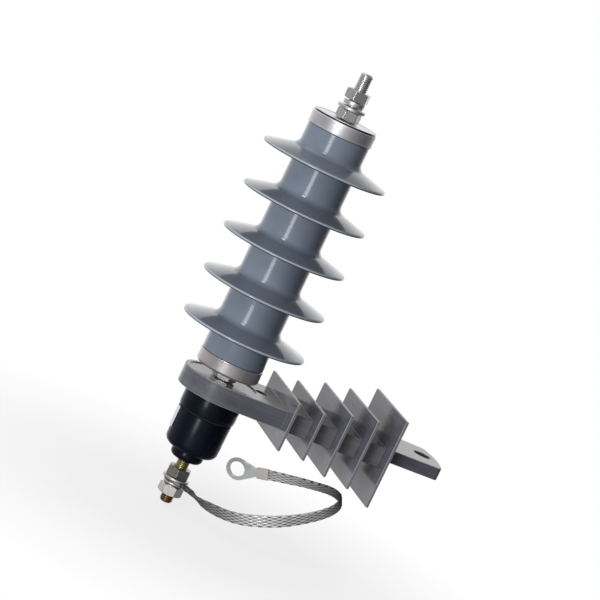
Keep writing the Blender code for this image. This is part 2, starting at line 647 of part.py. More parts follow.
def make_disconnector():
    """Lid, seal and cup, with the insert, contact plate, resistor and cartridge between them."""
    spigot_radius = LID_RADIUS - LID_WALL - GAP
    insert_foot = LID_CEILING - LID_TOP - SPIGOT_HEIGHT
    insert_bore = INSERT_RADIUS + GAP
    lid_inner = LID_RADIUS - LID_WALL
    lid_ceiling = LID_CEILING - LID_TOP
    lid = [
        (insert_bore, LID_CEILING),
        (LID_RADIUS, LID_CEILING),
        (LID_RADIUS, LID_FOOT + GAP),
        (LID_RADIUS - GAP, LID_FOOT),
        (lid_inner, LID_FOOT),
        (lid_inner, lid_ceiling),
        (insert_bore, lid_ceiling),
    ]
    turned("disconnector_lid", lid, BLACK_PLASTIC, LARGE_ROUND_STEPS)
    insert = [
        (THREAD_BORE, LID_CEILING),
        (INSERT_RADIUS, LID_CEILING),
        (INSERT_RADIUS, lid_ceiling - GAP),
        (INSERT_RADIUS + LID_WALL, lid_ceiling - GAP),
        (INSERT_RADIUS + LID_WALL, insert_foot),
        (THREAD_BORE, insert_foot),
    ]
    turned("threaded_insert", insert, YELLOW_PLATE)
    seal_inner = spigot_radius + GAP
    seal = ring_profile(seal_inner, CUP_RADIUS - GAP, SEAL_TOP - SEAL_THICKNESS, SEAL_TOP)
    turned("disconnector_seal", seal, SEAL_RUBBER)
    cavity = CUP_RADIUS - CUP_WALL - GAP - LID_WALL / 2
    spigot_top = CUP_TOP + SPIGOT_HEIGHT
    body_corner = (CUP_RADIUS - CUP_FILLET, CUP_FOOT + CUP_FILLET)
    nose_corner = (NOSE_RADIUS - NOSE_FILLET, NOSE_FOOT + NOSE_FILLET)
    cup = [(cavity, spigot_top), (spigot_radius, spigot_top), (spigot_radius, CUP_TOP), (CUP_RADIUS, CUP_TOP)]
    cup += arc(body_corner, CUP_FILLET, 0, -90, 6)
    cup += [(NOSE_RADIUS, CUP_FOOT)]
    cup += arc(nose_corner, NOSE_FILLET, 0, -90, 4)
    cup += [(THREAD_BORE, NOSE_FOOT), (THREAD_BORE, CUP_FLOOR_TOP), (cavity, CUP_FLOOR_TOP)]
    turned("disconnector_cup", cup, BLACK_PLASTIC, LARGE_ROUND_STEPS)
    plate_top = insert_foot - GAP
    plate_foot = plate_top - PLATE_THICKNESS
    turned("contact_plate", rod_profile(PLATE_RADIUS, plate_foot, plate_top), YELLOW_PLATE, ring=False)
    element_top = plate_foot - GAP
    element_foot = CUP_FLOOR_TOP + 2 * GAP + EARTH_HEAD_THICKNESS
    resistor = rod_profile(RESISTOR_RADIUS, element_foot, element_top, GAP, GAP)
    resistor_piece = turned("grading_resistor", resistor, RESISTOR_CERAMIC, SMALL_ROUND_STEPS, ring=False)
    resistor_piece.location = (-ELEMENT_SPACING / 2, 0, 0)
    cartridge = rod_profile(CARTRIDGE_RADIUS, element_foot, element_top, GAP, GAP)
    cartridge_piece = turned("trip_cartridge", cartridge, YELLOW_PLATE, SMALL_ROUND_STEPS, ring=False)
    cartridge_piece.location = (ELEMENT_SPACING / 2, 0, 0)


def make_label():
    """The blank label that wraps part of the cup."""
    inner = CUP_RADIUS + GAP
    outer = inner + LABEL_THICKNESS
    outline = []
    steps = 10
    for radius, direction in ((outer, 1), (inner, -1)):
        for index in range(steps + 1):
            share = index / steps if direction > 0 else 1 - index / steps
            angle = LABEL_CENTRE + LABEL_SPREAD * (share - 1 / 2)
            outline.append((radius * math.cos(angle), radius * math.sin(angle)))
    mesh = flat_outline_mesh("blank_label", outline, LABEL_HEIGHT)
    mesh.transform(Matrix.Translation((0, 0, CUP_TOP - GAP - LABEL_HEIGHT / 2)))
    shade_round(mesh)
    place("blank_label", mesh, LABEL_FILM)


def earth_levels():
    """The foot of each piece that the earth stud carries, from the nut by the cup downwards."""
    levels = {}
    top = NOSE_FOOT - EARTH_NUT_DROP
    for name, height in (
        ("inner_nut", NUT_HEIGHT),
        ("washer", EARTH_WASHER_THICKNESS),
        ("lug", LUG_THICKNESS),
        ("spring_washer", EARTH_SPRING_WASHER_THICKNESS),
        ("outer_nut", NUT_HEIGHT),
    ):
        levels[name] = top - height
        top = levels[name] - GAP
    return levels


def make_earth_terminal():
    levels = earth_levels()
    stud = [
        (0, CUP_FLOOR_TOP + GAP + EARTH_HEAD_THICKNESS),
        (EARTH_HEAD_RADIUS, CUP_FLOOR_TOP + GAP + EARTH_HEAD_THICKNESS),
        (EARTH_HEAD_RADIUS, CUP_FLOOR_TOP + GAP),
        (STUD_RADIUS, CUP_FLOOR_TOP + GAP),
        (STUD_RADIUS, EARTH_TIP + STUD_CHAMFER),
        (STUD_RADIUS - STUD_CHAMFER, EARTH_TIP),
        (0, EARTH_TIP),
    ]
    turned("earth_stud", stud, YELLOW_PLATE, SMALL_ROUND_STEPS, ring=False)
    make_nut("earth_inner_nut", levels["inner_nut"], NUT_HEIGHT, INNER_NUT_TURN, ZINC_PLATE)
    washer = ring_profile(
        STUD_HOLE,
        EARTH_WASHER_RADIUS,
        levels["washer"],
        levels["washer"] + EARTH_WASHER_THICKNESS,
    )
    turned("earth_flat_washer", washer, ZINC_PLATE)
    make_spring_washer(
        "earth_spring_washer",
        levels["spring_washer"],
        EARTH_SPRING_WASHER_THICKNESS - GAP,
        GAP,
        ZINC_PLATE,
    )
    make_nut("earth_outer_nut", levels["outer_nut"], NUT_HEIGHT, OUTER_NUT_TURN, ZINC_PLATE)


def smooth_route():
    """The route's own points with points of a smooth curve between them."""
    points = [Vector(point) for point in LEAD_ROUTE]
    padded = [points[0] * 2 - points[1], *points, points[-1] * 2 - points[-2]]
    route = []
    for index in range(1, len(padded) - 2):
        before, start, end, after = padded[index - 1 : index + 3]
        for step in range(STRAP_STEPS_PER_POINT):
            share = step / STRAP_STEPS_PER_POINT
            pull = start * 2 + (end - before) * share
            pull += (before * 2 - start * 5 + end * 4 - after) * share**2
            pull += (start * 3 - before - end * 3 + after) * share**3
            route.append(pull / 2)
    route.append(points[-1])
    return route


def strap_frames(route):
    """For each point of the route, the strap's direction and the direction across its width."""
    leaning = Vector((-math.sin(LEAD_PLANE_LEAN), 0, math.cos(LEAD_PLANE_LEAN)))
    first = (route[1] - route[0]).normalized()
    level = first.cross(Vector((0, 0, 1))).normalized()
    if level.dot(leaning) < 0:
        level = -level
    frames = []
    travelled = 0.0
    for index, point in enumerate(route):
        before = route[max(index - 1, 0)]
        after = route[min(index + 1, len(route) - 1)]
        travelled += (point - before).length
        along = (after - before).normalized()
        share = min(travelled / STRAP_TWIST_LENGTH, 1.0)
        share = share * share * (3 - 2 * share)
        across = level.lerp(leaning, share)
        across = (across - along * across.dot(along)).normalized()
        frames.append((along, across))
    return frames


def strap_corners(point, along, across):
    through = along.cross(across)
    half_width = across * (STRAP_WIDTH / 2)
    half_depth = through * (STRAP_THICKNESS / 2)
    return (
        point - half_width - half_depth,
        point + half_width - half_depth,
        point + half_width + half_depth,
        point - half_width + half_depth,
    )


def make_lead():
    """The flat braided strap: its section is drawn along the route, twisting from level to on edge."""
    route = smooth_route()
    frames = strap_frames(route)
    shape = bmesh.new()
    previous = None
    for point, frame in zip(route, frames):
        ring = [shape.verts.new(corner) for corner in strap_corners(point, *frame)]
        if previous is None:
            shape.faces.new(ring)
        else:
            for index in range(len(ring)):
                following = (index + 1) % len(ring)
                shape.faces.new((previous[index], previous[following], ring[following], ring[index]))
        previous = ring
    shape.faces.new(previous)
    bmesh.ops.recalc_face_normals(shape, faces=shape.faces)
    mesh = bpy.data.meshes.new("earth_lead")
    shape.to_mesh(mesh)
    shape.free()
    shade_round(mesh)
    place("earth_lead", mesh, TINNED_COPPER)
    return route, frames


def lug_outline(radius, neck_length, neck_width, overlap=0.0):
    """A ring lug's palm in plan: a round eye whose straight sides run down to a neck along +X."""
    half_neck = neck_width / 2
    corner = math.hypot(neck_length, half_neck)
    opening = math.degrees(math.atan2(half_neck, neck_length) + math.acos(radius / corner))
    outline = arc((0, 0), radius, opening, 360 - opening, 18)
    outline += [(neck_length, -half_neck), (neck_length, half_neck)]
    if overlap:
        outline[-1:-1] = [(neck_length + overlap, -half_neck), (neck_length + overlap, half_neck)]
    return outline


def make_barrel(name):
    """The flattened crimp barrel behind the free lug's neck, its long edges rounded."""
    low = (FREE_LUG_NECK_LENGTH, -CRIMP_WIDTH / 2, -CRIMP_HEIGHT / 2)
    high = (FREE_LUG_NECK_LENGTH + CRIMP_LENGTH, CRIMP_WIDTH / 2, CRIMP_HEIGHT / 2)
    mesh = box_mesh(name, low, high)
    shape = bmesh.new()
    shape.from_mesh(mesh)
    long_edges = [edge for edge in shape.edges if edge.verts[0].co.yz == edge.verts[1].co.yz]
    bmesh.ops.bevel(
        shape,
        geom=long_edges,
        offset=CRIMP_CORNER,
        segments=2,
        profile=0.5,
        affect="EDGES",
    )
    shape.to_mesh(mesh)
    shape.free()
    return place(name, mesh, None)


def make_fixed_lug(start):
    """The strap's pressed end, clamped on the earth stud."""
    neck = Vector((start.x, start.y)).length - GAP
    mesh = flat_outline_mesh("lead_fixed_lug", lug_outline(FIXED_LUG_RADIUS, neck, STRAP_WIDTH), LUG_THICKNESS)
    lug = place("lead_fixed_lug", mesh, TINNED_COPPER)
    hole = bore_cutter("fixed_lug_hole", STUD_HOLE, -OVERRUN, OVERRUN)
    for piece in (lug, hole):
        piece.location = (0, 0, earth_levels()["lug"] + LUG_THICKNESS / 2)
        piece.rotation_euler = (0, 0, math.atan2(start.y, start.x))
    cut(lug, hole)


def make_free_lug(end, along, across):
    """The ring lug crimped on the strap's free end, its palm flush with the strap's width."""
    outline = lug_outline(FREE_LUG_RADIUS, FREE_LUG_NECK_LENGTH, FREE_LUG_NECK_WIDTH, CRIMP_CORNER)
    lug = place("lead_free_lug", flat_outline_mesh("lead_free_lug", outline, LUG_THICKNESS), TINNED_COPPER)
    barrel = make_barrel("free_lug_barrel")
    hole = bore_cutter("free_lug_hole", FREE_LUG_HOLE, -OVERRUN, OVERRUN)
    back = -along
    facing = Matrix((back, across, back.cross(across))).transposed().to_4x4()
    eye = end + along * (GAP + CRIMP_LENGTH + FREE_LUG_NECK_LENGTH)
    for piece in (lug, barrel, hole):
        piece.matrix_local = Matrix.Translation(eye) @ facing
    cut(lug, barrel, "UNION")
    cut(lug, hole)


make_housing()
make_stack()
make_caps()
make_line_terminal()
make_bracket()
make_coupling()
make_disconnector()
make_label()
make_earth_terminal()
lead_route, lead_frames = make_lead()
make_fixed_lug(lead_route[0])
make_free_lug(lead_route[-1], *lead_frames[-1])
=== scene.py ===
import math

import bmesh
import bpy
from mathutils import Matrix, Vector, noise


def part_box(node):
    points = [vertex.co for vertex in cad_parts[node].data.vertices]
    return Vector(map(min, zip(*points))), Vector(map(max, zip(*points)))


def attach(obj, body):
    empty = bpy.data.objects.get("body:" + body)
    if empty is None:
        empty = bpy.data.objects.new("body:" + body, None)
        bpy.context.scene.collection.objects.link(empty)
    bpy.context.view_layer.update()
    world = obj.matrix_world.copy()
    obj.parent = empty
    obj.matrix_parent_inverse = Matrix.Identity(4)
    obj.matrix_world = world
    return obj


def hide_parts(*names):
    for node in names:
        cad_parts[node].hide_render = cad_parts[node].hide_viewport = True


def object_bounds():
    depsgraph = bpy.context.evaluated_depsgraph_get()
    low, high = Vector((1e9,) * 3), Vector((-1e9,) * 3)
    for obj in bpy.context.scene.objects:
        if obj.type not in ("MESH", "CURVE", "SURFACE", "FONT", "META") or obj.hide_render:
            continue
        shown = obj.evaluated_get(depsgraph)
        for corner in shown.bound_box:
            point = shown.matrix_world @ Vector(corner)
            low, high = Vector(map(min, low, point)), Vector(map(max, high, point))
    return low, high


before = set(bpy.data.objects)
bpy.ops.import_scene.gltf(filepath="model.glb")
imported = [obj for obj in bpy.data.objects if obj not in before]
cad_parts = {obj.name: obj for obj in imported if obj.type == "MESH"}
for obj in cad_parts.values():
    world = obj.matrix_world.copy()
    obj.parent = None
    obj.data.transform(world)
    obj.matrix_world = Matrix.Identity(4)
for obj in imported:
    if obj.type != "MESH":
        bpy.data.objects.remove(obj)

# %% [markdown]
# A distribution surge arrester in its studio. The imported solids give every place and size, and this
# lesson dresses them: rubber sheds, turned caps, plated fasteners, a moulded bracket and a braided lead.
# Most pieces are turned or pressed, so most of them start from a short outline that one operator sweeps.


def corner_lists(box):
    """A box's two corners as plain lists of numbers."""
    return [[float(value) for value in corner] for corner in box]


SOLIDS_BOX = corner_lists(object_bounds())
AXIS_PLACE = Vector((-0.1563, 0.0, -0.0025))
MERGE_DISTANCE = 0.000005
FULL_TURN = 2 * math.pi
print("solids from", SOLIDS_BOX[0], "to", SOLIDS_BOX[1])


def span_of(node):
    """A node's foot and top, measured along the axis from the top of the bracket's boss."""
    low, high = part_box(node)
    return low.z - AXIS_PLACE.z, high.z - AXIS_PLACE.z


def radius_of(node):
    low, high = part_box(node)
    return (high.x - low.x) / 2


# %% [markdown]
# The camera looks at the arrester from the front and a little from above. It is rolled, so that the
# upright axis leans across the picture. A camera's own axes are its right, its up and the way back from
# its view, so a matrix with those three columns turns it. That is easier to check than three angles.

# %% Camera
CAMERA_AZIMUTH = math.radians(18.742)
CAMERA_ELEVATION = math.radians(8.462)
CAMERA_ROLL = math.radians(25.571)
CAMERA_DISTANCE = 2.0
CAMERA_TARGET = AXIS_PLACE + Vector((0.018742, -0.028220, 0.082106))
CAMERA_LENS = 161.276
CAMERA_SENSOR = 36.0


def add_object(name, data):
    thing = bpy.data.objects.new(name, data)
    bpy.context.scene.collection.objects.link(thing)
    return thing


def placed_axes(right, up, back, place):
    """The matrix that turns an object's own axes to three directions and moves it to a place."""
    return Matrix.Translation(place) @ Matrix((right, up, back)).transposed().to_4x4()


LEVEL_TOWARD_CAMERA = Vector((-math.sin(CAMERA_AZIMUTH), -math.cos(CAMERA_AZIMUTH), 0.0))
TOWARD_CAMERA = LEVEL_TOWARD_CAMERA * math.cos(CAMERA_ELEVATION) + Vector((0, 0, math.sin(CAMERA_ELEVATION)))
LEVEL_RIGHT = Vector((math.cos(CAMERA_AZIMUTH), -math.sin(CAMERA_AZIMUTH), 0.0))
LEVEL_UP = TOWARD_CAMERA.cross(LEVEL_RIGHT)
PICTURE_RIGHT = LEVEL_RIGHT * math.cos(CAMERA_ROLL) + LEVEL_UP * math.sin(CAMERA_ROLL)
PICTURE_UP = LEVEL_UP * math.cos(CAMERA_ROLL) - LEVEL_RIGHT * math.sin(CAMERA_ROLL)

camera_data = bpy.data.cameras.new("camera")
camera_data.lens = CAMERA_LENS
camera_data.sensor_width = CAMERA_SENSOR
camera = add_object("camera", camera_data)
camera_place = CAMERA_TARGET + TOWARD_CAMERA * CAMERA_DISTANCE
camera.matrix_world = placed_axes(PICTURE_RIGHT, PICTURE_UP, TOWARD_CAMERA, camera_place)
bpy.context.scene.camera = camera
bpy.context.scene.view_settings.view_transform = "Standard"
print("camera at", tuple(round(value, 4) for value in camera.matrix_world.translation))

# %% [markdown]
# Materials are built from nodes. Each finish starts from one Principled shader with its plain numbers on
# its own sockets. Small helpers then add what a real surface has: patchy colour, uneven gloss and a fine
# relief. All of them read Object coordinates in metres, so a scale of 1000 gives grains of a millimetre.
# A node's output knows its own node tree, so most helpers need no more than the outputs they work on.


# %% Helpers for node materials
def feed(socket, value):
    """Joins an input to another node's output, or sets it to a number, a vector or a colour."""
    if isinstance(value, bpy.types.NodeSocket):
        socket.id_data.links.new(value, socket)
    else:
        socket.default_value = (*value, 1.0) if socket.type == "RGBA" else value


def add_node(tree, kind, inputs=None, **settings):
    node = tree.nodes.new(kind)
    for name, value in settings.items():
        setattr(node, name, value)
    for key, value in (inputs or {}).items():
        feed(node.inputs[key], value)
    return node


def shader_of(material):
    return material.node_tree.nodes["Principled BSDF"]


def set_shader(material, values):
    for name, value in values.items():
        feed(shader_of(material).inputs[name], value)


def new_finish(name, colour, roughness, metallic=0.0, specular=0.5):
    material = bpy.data.materials.new(name)
    material.use_nodes = True
    set_shader(material, {"Base Color": colour, "Roughness": roughness})
    set_shader(material, {"Metallic": metallic, "Specular IOR Level": specular})
    return material


def maths(operation, *operands):
    """A Math node; each operand is an output or a number, and one at least is an output."""
    tree = next(operand.id_data for operand in operands if isinstance(operand, bpy.types.NodeSocket))
    return add_node(tree, "ShaderNodeMath", dict(enumerate(operands)), operation=operation).outputs[0]


def product(*factors):
    result = factors[0]
    for factor in factors[1:]:
        result = maths("MULTIPLY", result, factor)
    return result


def object_place(material, stretch=(1, 1, 1), turn=(0, 0, 0), centre=(0, 0, 0)):
    """Object coordinates, moved so that centre is their origin, then turned and stretched."""
    source = add_node(material.node_tree, "ShaderNodeTexCoord").outputs["Object"]
    moved = add_node(material.node_tree, "ShaderNodeVectorMath", {0: source, 1: centre}, operation="SUBTRACT")
    inputs = {"Vector": moved.outputs[0], "Scale": stretch, "Rotation": turn}
    return add_node(material.node_tree, "ShaderNodeMapping", inputs).outputs["Vector"]


def split(point):
    """The outputs X, Y and Z of a point."""
    return add_node(point.id_data, "ShaderNodeSeparateXYZ", {0: point}).outputs


def grain(place, scale, detail=4.0, roughness=0.6):
    inputs = {"Vector": place, "Scale": scale, "Detail": detail, "Roughness": roughness}
    return add_node(place.id_data, "ShaderNodeTexNoise", inputs).outputs["Fac"]


def spread(value, low, high, new_low=0.0, new_high=1.0):
    """A value carried over from one range to another and kept inside it."""
    inputs = {"Value": value, "From Min": low, "From Max": high, "To Min": new_low, "To Max": new_high}
    return add_node(value.id_data, "ShaderNodeMapRange", inputs).outputs["Result"]


def blend_colours(share, first, second):
    """A colour mix; each colour is an output or three numbers."""
    inputs = {0: share, 6: first, 7: second}
    return add_node(share.id_data, "ShaderNodeMix", inputs, data_type="RGBA").outputs[2]


def shade_times(colour, factor):
    return tuple(min(part * factor, 1.0) for part in colour)


def two_shades(share, colour, darker, lighter):
    """A blend of two shades of a colour, each given as a factor."""
    return blend_colours(share, shade_times(colour, darker), shade_times(colour, lighter))


def tint(material, share, colour):
    """Blends one more colour over a material's own."""
    base = shader_of(material).inputs["Base Color"]
    feed(base, blend_colours(share, base.links[0].from_socket, colour))


def add_relief(material, height, depth, strength):
    """Bump of the given depth in metres, laid over any bump that is there already."""
    inputs = {"Height": height, "Distance": depth, "Strength": strength}
    target = shader_of(material).inputs["Normal"]
    if target.is_linked:
        inputs["Normal"] = target.links[0].from_socket
    feed(target, add_node(material.node_tree, "ShaderNodeBump", inputs).outputs["Normal"])


def facing(material, axis):
    """How far the surface faces along an axis, from -1 to 1."""
    return split(add_node(material.node_tree, "ShaderNodeNewGeometry").outputs["Normal"])[axis]


def distance_from(material, centre):
    inputs = {0: object_place(material, centre=centre)}
    return add_node(material.node_tree, "ShaderNodeVectorMath", inputs, operation="LENGTH").outputs["Value"]


def lathe_parts(material):
    """The distance from the arrester's axis, and the height, for marks that run round it."""
    x, y, height = split(object_place(material, centre=AXIS_PLACE))
    return maths("SQRT", maths("ADD", product(x, x), product(y, y))), height


# %% [markdown]
# The housing is silicone rubber: satin, blue-grey, with a faint orange peel from its mould. Its thin skin is
# glossier than the rubber below, so a coat carries the sharp part of each reflection. Dust and painted
# shade make the tops of the sheds a little duller than the upright wall. A painted highlight pales the
# upper edge of each rim and painted shade darkens its lower edge, so two masks read the distance from
# the axis and the facing.

# %% Silicone rubber
SILICONE_COLOUR = (0.150, 0.182, 0.232)
# Dust and painted shade on the tops of the sheds
SILICONE_DUST_AND_SHADE = (0.150, 0.165, 0.205)
# A painted highlight on each rim's upper edge and painted shade on its lower edge
PAINTED_RIM_HIGHLIGHT = (0.34, 0.37, 0.41)
PAINTED_RIM_SHADE = (0.045, 0.055, 0.075)
PAINTED_RIM_RADIUS = 0.0490
SKIN = {"Coat Weight": 0.8, "Coat Roughness": 0.045, "Coat IOR": 1.5}


def make_silicone():
    material = new_finish("silicone", SILICONE_COLOUR, 0.18, 0.0, 0.3)
    set_shader(material, SKIN)
    place = object_place(material)
    clouds = grain(place, 45.0, 5.0)
    worn = two_shades(spread(clouds, 0.35, 0.65), SILICONE_COLOUR, 0.93, 1.08)
    upward = facing(material, "Z")
    # Dust and painted shade where the surface faces up
    dust_and_painted_light = product(spread(upward, 0.2, 0.98), 0.5, spread(clouds, 0.2, 0.7, 0.6, 1.0))
    dust_and_shade_colour = blend_colours(dust_and_painted_light, worn, SILICONE_DUST_AND_SHADE)
    radius, _ = lathe_parts(material)
    # Painted highlight on the upper half of each rim and painted shade on its lower half
    at_rim = spread(radius, PAINTED_RIM_RADIUS, PAINTED_RIM_RADIUS + 0.0004)
    rim_highlighted = blend_colours(product(at_rim, spread(upward, -0.05, 0.2)), dust_and_shade_colour, PAINTED_RIM_HIGHLIGHT)
    rim_shade = product(at_rim, spread(upward, -0.1, -0.4))
    gloss = spread(clouds, 0.3, 0.7, 0.15, 0.20)
    rough = maths("ADD", gloss, product(rim_shade, 0.8))
    set_shader(material, {"Base Color": blend_colours(rim_shade, rim_highlighted, PAINTED_RIM_SHADE), "Roughness": rough})
    add_relief(material, grain(place, 900.0, 3.0), 0.00001, 0.4)
    return material


# %% [markdown]
# A lathe leaves rings: lines of one height on the side of a cap, and circles on its face. Both are one
# pattern if the noise reads the distance from the axis and the height, and nothing else. The groove below
# the cap's rim gets painted shade, and the edges above and below it get a painted highlight.


# %% Turned aluminium
FACE_POLISH = 0.16
# A painted highlight on the edges beside the cap's groove, and painted shade inside it
PAINTED_HIGHLIGHT_RISE = 0.0007
PAINTED_HIGHLIGHT_WHITE = (1.0, 1.0, 1.0)
PAINTED_GROOVE_SHADE = (0.02, 0.02, 0.022)


def make_turned_metal(name, colour, dark, roughness, groove=None):
    """Turned aluminium; groove is the foot, the top and the radius of a groove that gets painted shade."""
    material = new_finish(name, colour, roughness, 0.85)
    radius, height = lathe_parts(material)
    lathe = add_node(material.node_tree, "ShaderNodeCombineXYZ", {"X": radius, "Z": height}).outputs[0]
    rings = grain(lathe, 2600.0, 3.0, 0.7)
    patchy = grain(object_place(material), 70.0, 5.0)
    patches = blend_colours(spread(patchy, 0.3, 0.75), colour, dark)
    lined = blend_colours(spread(rings, 0.25, 0.8, 0.0, 0.35), patches, dark)
    if groove:
        foot, top, reach = groove
        # Painted highlight on the edges above and below the groove
        off_middle = maths("ABSOLUTE", maths("SUBTRACT", height, (foot + top) / 2))
        near = maths("LESS_THAN", off_middle, (top - foot) / 2 + PAINTED_HIGHLIGHT_RISE)
        lined = blend_colours(product(near, maths("GREATER_THAN", radius, reach)), lined, PAINTED_HIGHLIGHT_WHITE)
        # Painted shade inside the groove
        above = maths("GREATER_THAN", height, foot)
        below = maths("LESS_THAN", height, top)
        lined = blend_colours(product(above, below, maths("LESS_THAN", radius, reach)), lined, PAINTED_GROOVE_SHADE)
    turned = spread(rings, 0.2, 0.8, roughness - 0.04, roughness + 0.05)
    polish = spread(facing(material, "Z"), 0.5, 0.98, 0.0, FACE_POLISH)
    set_shader(material, {"Base Color": lined, "Roughness": maths("SUBTRACT", turned, polish)})
    add_relief(material, rings, 0.000006, 0.5)
    return material


# %% [markdown]
# Zinc plate is bright but never a mirror. Handling leaves tiny scratches and dull blots on it. The yellow
# passivated stud has a film whose colour drifts from straw to olive, so its colour follows a slow noise.


# %% Plated steel
def make_plate_finish(name, colour, dull, roughness, blot_scale=260.0, metallic=1.0):
    material = new_finish(name, colour, roughness, metallic)
    blots = grain(object_place(material), blot_scale, 6.0)
    scratches = grain(object_place(material, (1, 1, 0.12), (0.5, 0.3, 0.9)), 3800.0, 2.0)
    blotted = blend_colours(spread(blots, 0.38, 0.72), colour, dull)
    uneven = spread(blots, 0.3, 0.7, roughness - 0.05, roughness + 0.12)
    set_shader(material, {"Base Color": blotted, "Roughness": uneven})
    add_relief(material, scratches, 0.000003, 0.5)
    add_relief(material, blots, 0.00002, 0.3)
    return material


# %% [markdown]
# The bracket is a glass-filled moulding. It is dark grey with a smooth skin and faint flow marks, and the
# faces that lie flat near the boss and on the tongue hold a little dust with a painted reflection on it.
# Between the fins the arm's sides get pale streaks of painted light. The broken edges get a finish of
# their own, a paler one that is a painted highlight.

# %% Moulded bracket
MOULDING_COLOUR = (0.091, 0.091, 0.114)
# Dust with a painted reflection on the open tops; painted light on the arm's sides between the fins
MOULDING_DUST_AND_REFLECTION = (0.30, 0.29, 0.29)
PAINTED_BAY_LIGHT = (0.175, 0.172, 0.186)
PAINTED_BAY_LIGHT_SHARE = 0.75
FINS_START = 0.0492
FINS_END = 0.136


def make_moulding():
    material = new_finish("moulding", MOULDING_COLOUR, 0.14, 0.0, 0.65)
    flow = grain(object_place(material, (0.35, 1.0, 1.0), (0.0, 0.2, 0.3)), 120.0, 6.0)
    fibres = grain(object_place(material, (0.15, 1.0, 1.0)), 1500.0, 3.0)
    streaks = grain(object_place(material, (0.04, 0.04, 1.0)), 700.0, 4.0)
    skin = two_shades(spread(maths("ADD", flow, streaks), 0.75, 1.3), MOULDING_COLOUR, 0.78, 1.25)
    speckled = blend_colours(spread(fibres, 0.55, 0.85, 0.0, 0.4), skin, shade_times(MOULDING_COLOUR, 1.6))
    along = split(object_place(material, centre=AXIS_PLACE))["X"]
    among_fins = product(maths("GREATER_THAN", along, FINS_START), maths("LESS_THAN", along, FINS_END))
    open_top = maths("SUBTRACT", 1.0, among_fins)
    # Dust with a painted reflection on the flat tops outside the fins
    dust_and_painted_light = product(spread(facing(material, "Z"), 0.8, 1.0), open_top, spread(flow, 0.25, 0.6, 0.5, 1.0))
    # Painted light on the arm's sides between the fins
    sideways = spread(maths("ABSOLUTE", facing(material, "Y")), 0.90, 0.98, 0.0, PAINTED_BAY_LIGHT_SHARE)
    patchy = product(sideways, among_fins, spread(streaks, 0.3, 0.7, 0.7, 1.2))
    bay_lit = blend_colours(patchy, speckled, PAINTED_BAY_LIGHT)
    gloss = maths("ADD", spread(flow, 0.3, 0.7, 0.10, 0.18), product(dust_and_painted_light, 0.03))
    set_shader(material, {"Base Color": blend_colours(dust_and_painted_light, bay_lit, MOULDING_DUST_AND_REFLECTION), "Roughness": gloss})
    add_relief(material, grain(object_place(material), 60.0, 1.0), 0.00004, 0.3)
    add_relief(material, fibres, 0.000004, 0.4)
    return material


# %% [markdown]
# The disconnector is a glossy black thermoplastic with a blue cast. Its gloss carries the look, so its
# colour is nearly flat, and slow ripples in the skin bend the lamps' reflections. The pieces that are
# mostly hidden share one plain recipe: a speckle and a fine relief.

# %% Black plastic, rubber and film
BLACK_DEEP = (0.0010, 0.002, 0.0058)
BLACK_PALE = (0.0018, 0.003, 0.008)
BLUE_CAST = (0.78, 0.88, 1.0)


def make_black_plastic():
    material = new_finish("black_plastic", (0.0018, 0.0025, 0.0052), 0.20, 0.0, 0.32)
    place = object_place(material)
    ripples = grain(place, 90.0, 2.0)
    skin = grain(place, 1400.0, 2.0)
    colour = blend_colours(spread(ripples, 0.3, 0.7), BLACK_DEEP, BLACK_PALE)
    gloss = spread(skin, 0.3, 0.7, 0.16, 0.22)
    set_shader(material, {"Base Color": colour, "Roughness": gloss, "Specular Tint": BLUE_CAST})
    add_relief(material, ripples, 0.0001, 0.3)
    add_relief(material, skin, 0.000003, 0.4)
    return material


def make_grained_finish(name, colour, roughness, metallic=0.0, scale=500.0, depth=0.00004, contrast=0.15):
    material = new_finish(name, colour, roughness, metallic)
    speckle = grain(object_place(material), scale, 5.0)
    speckled = two_shades(spread(speckle, 0.3, 0.7), colour, 1 - contrast, 1 + contrast)
    uneven = spread(speckle, 0.3, 0.7, roughness - 0.06, roughness + 0.06)
    set_shader(material, {"Base Color": speckled, "Roughness": uneven})
    add_relief(material, speckle, depth, 0.5)
    return material


SILICONE = make_silicone()
CAP_GROOVE = (span_of("top_cap")[1] - 0.0016, span_of("top_cap")[1] - 0.00045, radius_of("top_cap") - 0.0008)
CAP_ALUMINIUM = make_turned_metal("cap_aluminium", (0.84, 0.84, 0.87), (0.66, 0.65, 0.68), 0.39, CAP_GROOVE)
LOWER_CAP_ALUMINIUM = make_turned_metal("lower_cap_aluminium", (0.80, 0.75, 0.77), (0.60, 0.55, 0.57), 0.31)
ZINC_PLATE = make_plate_finish("zinc_plate", (0.90, 0.89, 0.90), (0.66, 0.65, 0.66), 0.26)
WASHER_PLATE = make_plate_finish("washer_plate", (0.96, 0.95, 0.95), (0.78, 0.77, 0.77), 0.40)
DULL_ZINC_PLATE = make_plate_finish("dull_zinc_plate", (0.56, 0.54, 0.51), (0.32, 0.31, 0.28), 0.30)
YELLOW_PLATE = make_plate_finish("yellow_plate", (0.62, 0.55, 0.28), (0.42, 0.33, 0.12), 0.28, 180.0)
MOULDING = make_moulding()
# The bracket's bevelled edges: a paler finish that is a painted highlight
MOULDING_EDGE_HIGHLIGHT = make_grained_finish("moulding_edge_highlight", (0.25, 0.25, 0.27), 0.34, 0.0, 1500.0, 0.000005, 0.3)
BLACK_PLASTIC = make_black_plastic()
SEAL_RUBBER = make_grained_finish("seal_rubber", (0.012, 0.012, 0.013), 0.65)
LABEL_FILM = make_grained_finish("label_film", (0.62, 0.63, 0.72), 0.42, scale=900.0, contrast=0.04)
print(len(bpy.data.materials), "materials so far")

# %% [markdown]
# The earth lead is a tubular braid of tinned copper wire, pressed flat. It comes first, because its loop
# reaches furthest out. A grid is the start: its long side becomes the lead's length and its short side
# goes once round. The route is the one that the solids hold, and the strap turns from lying flat on its
# terminal to standing on edge.

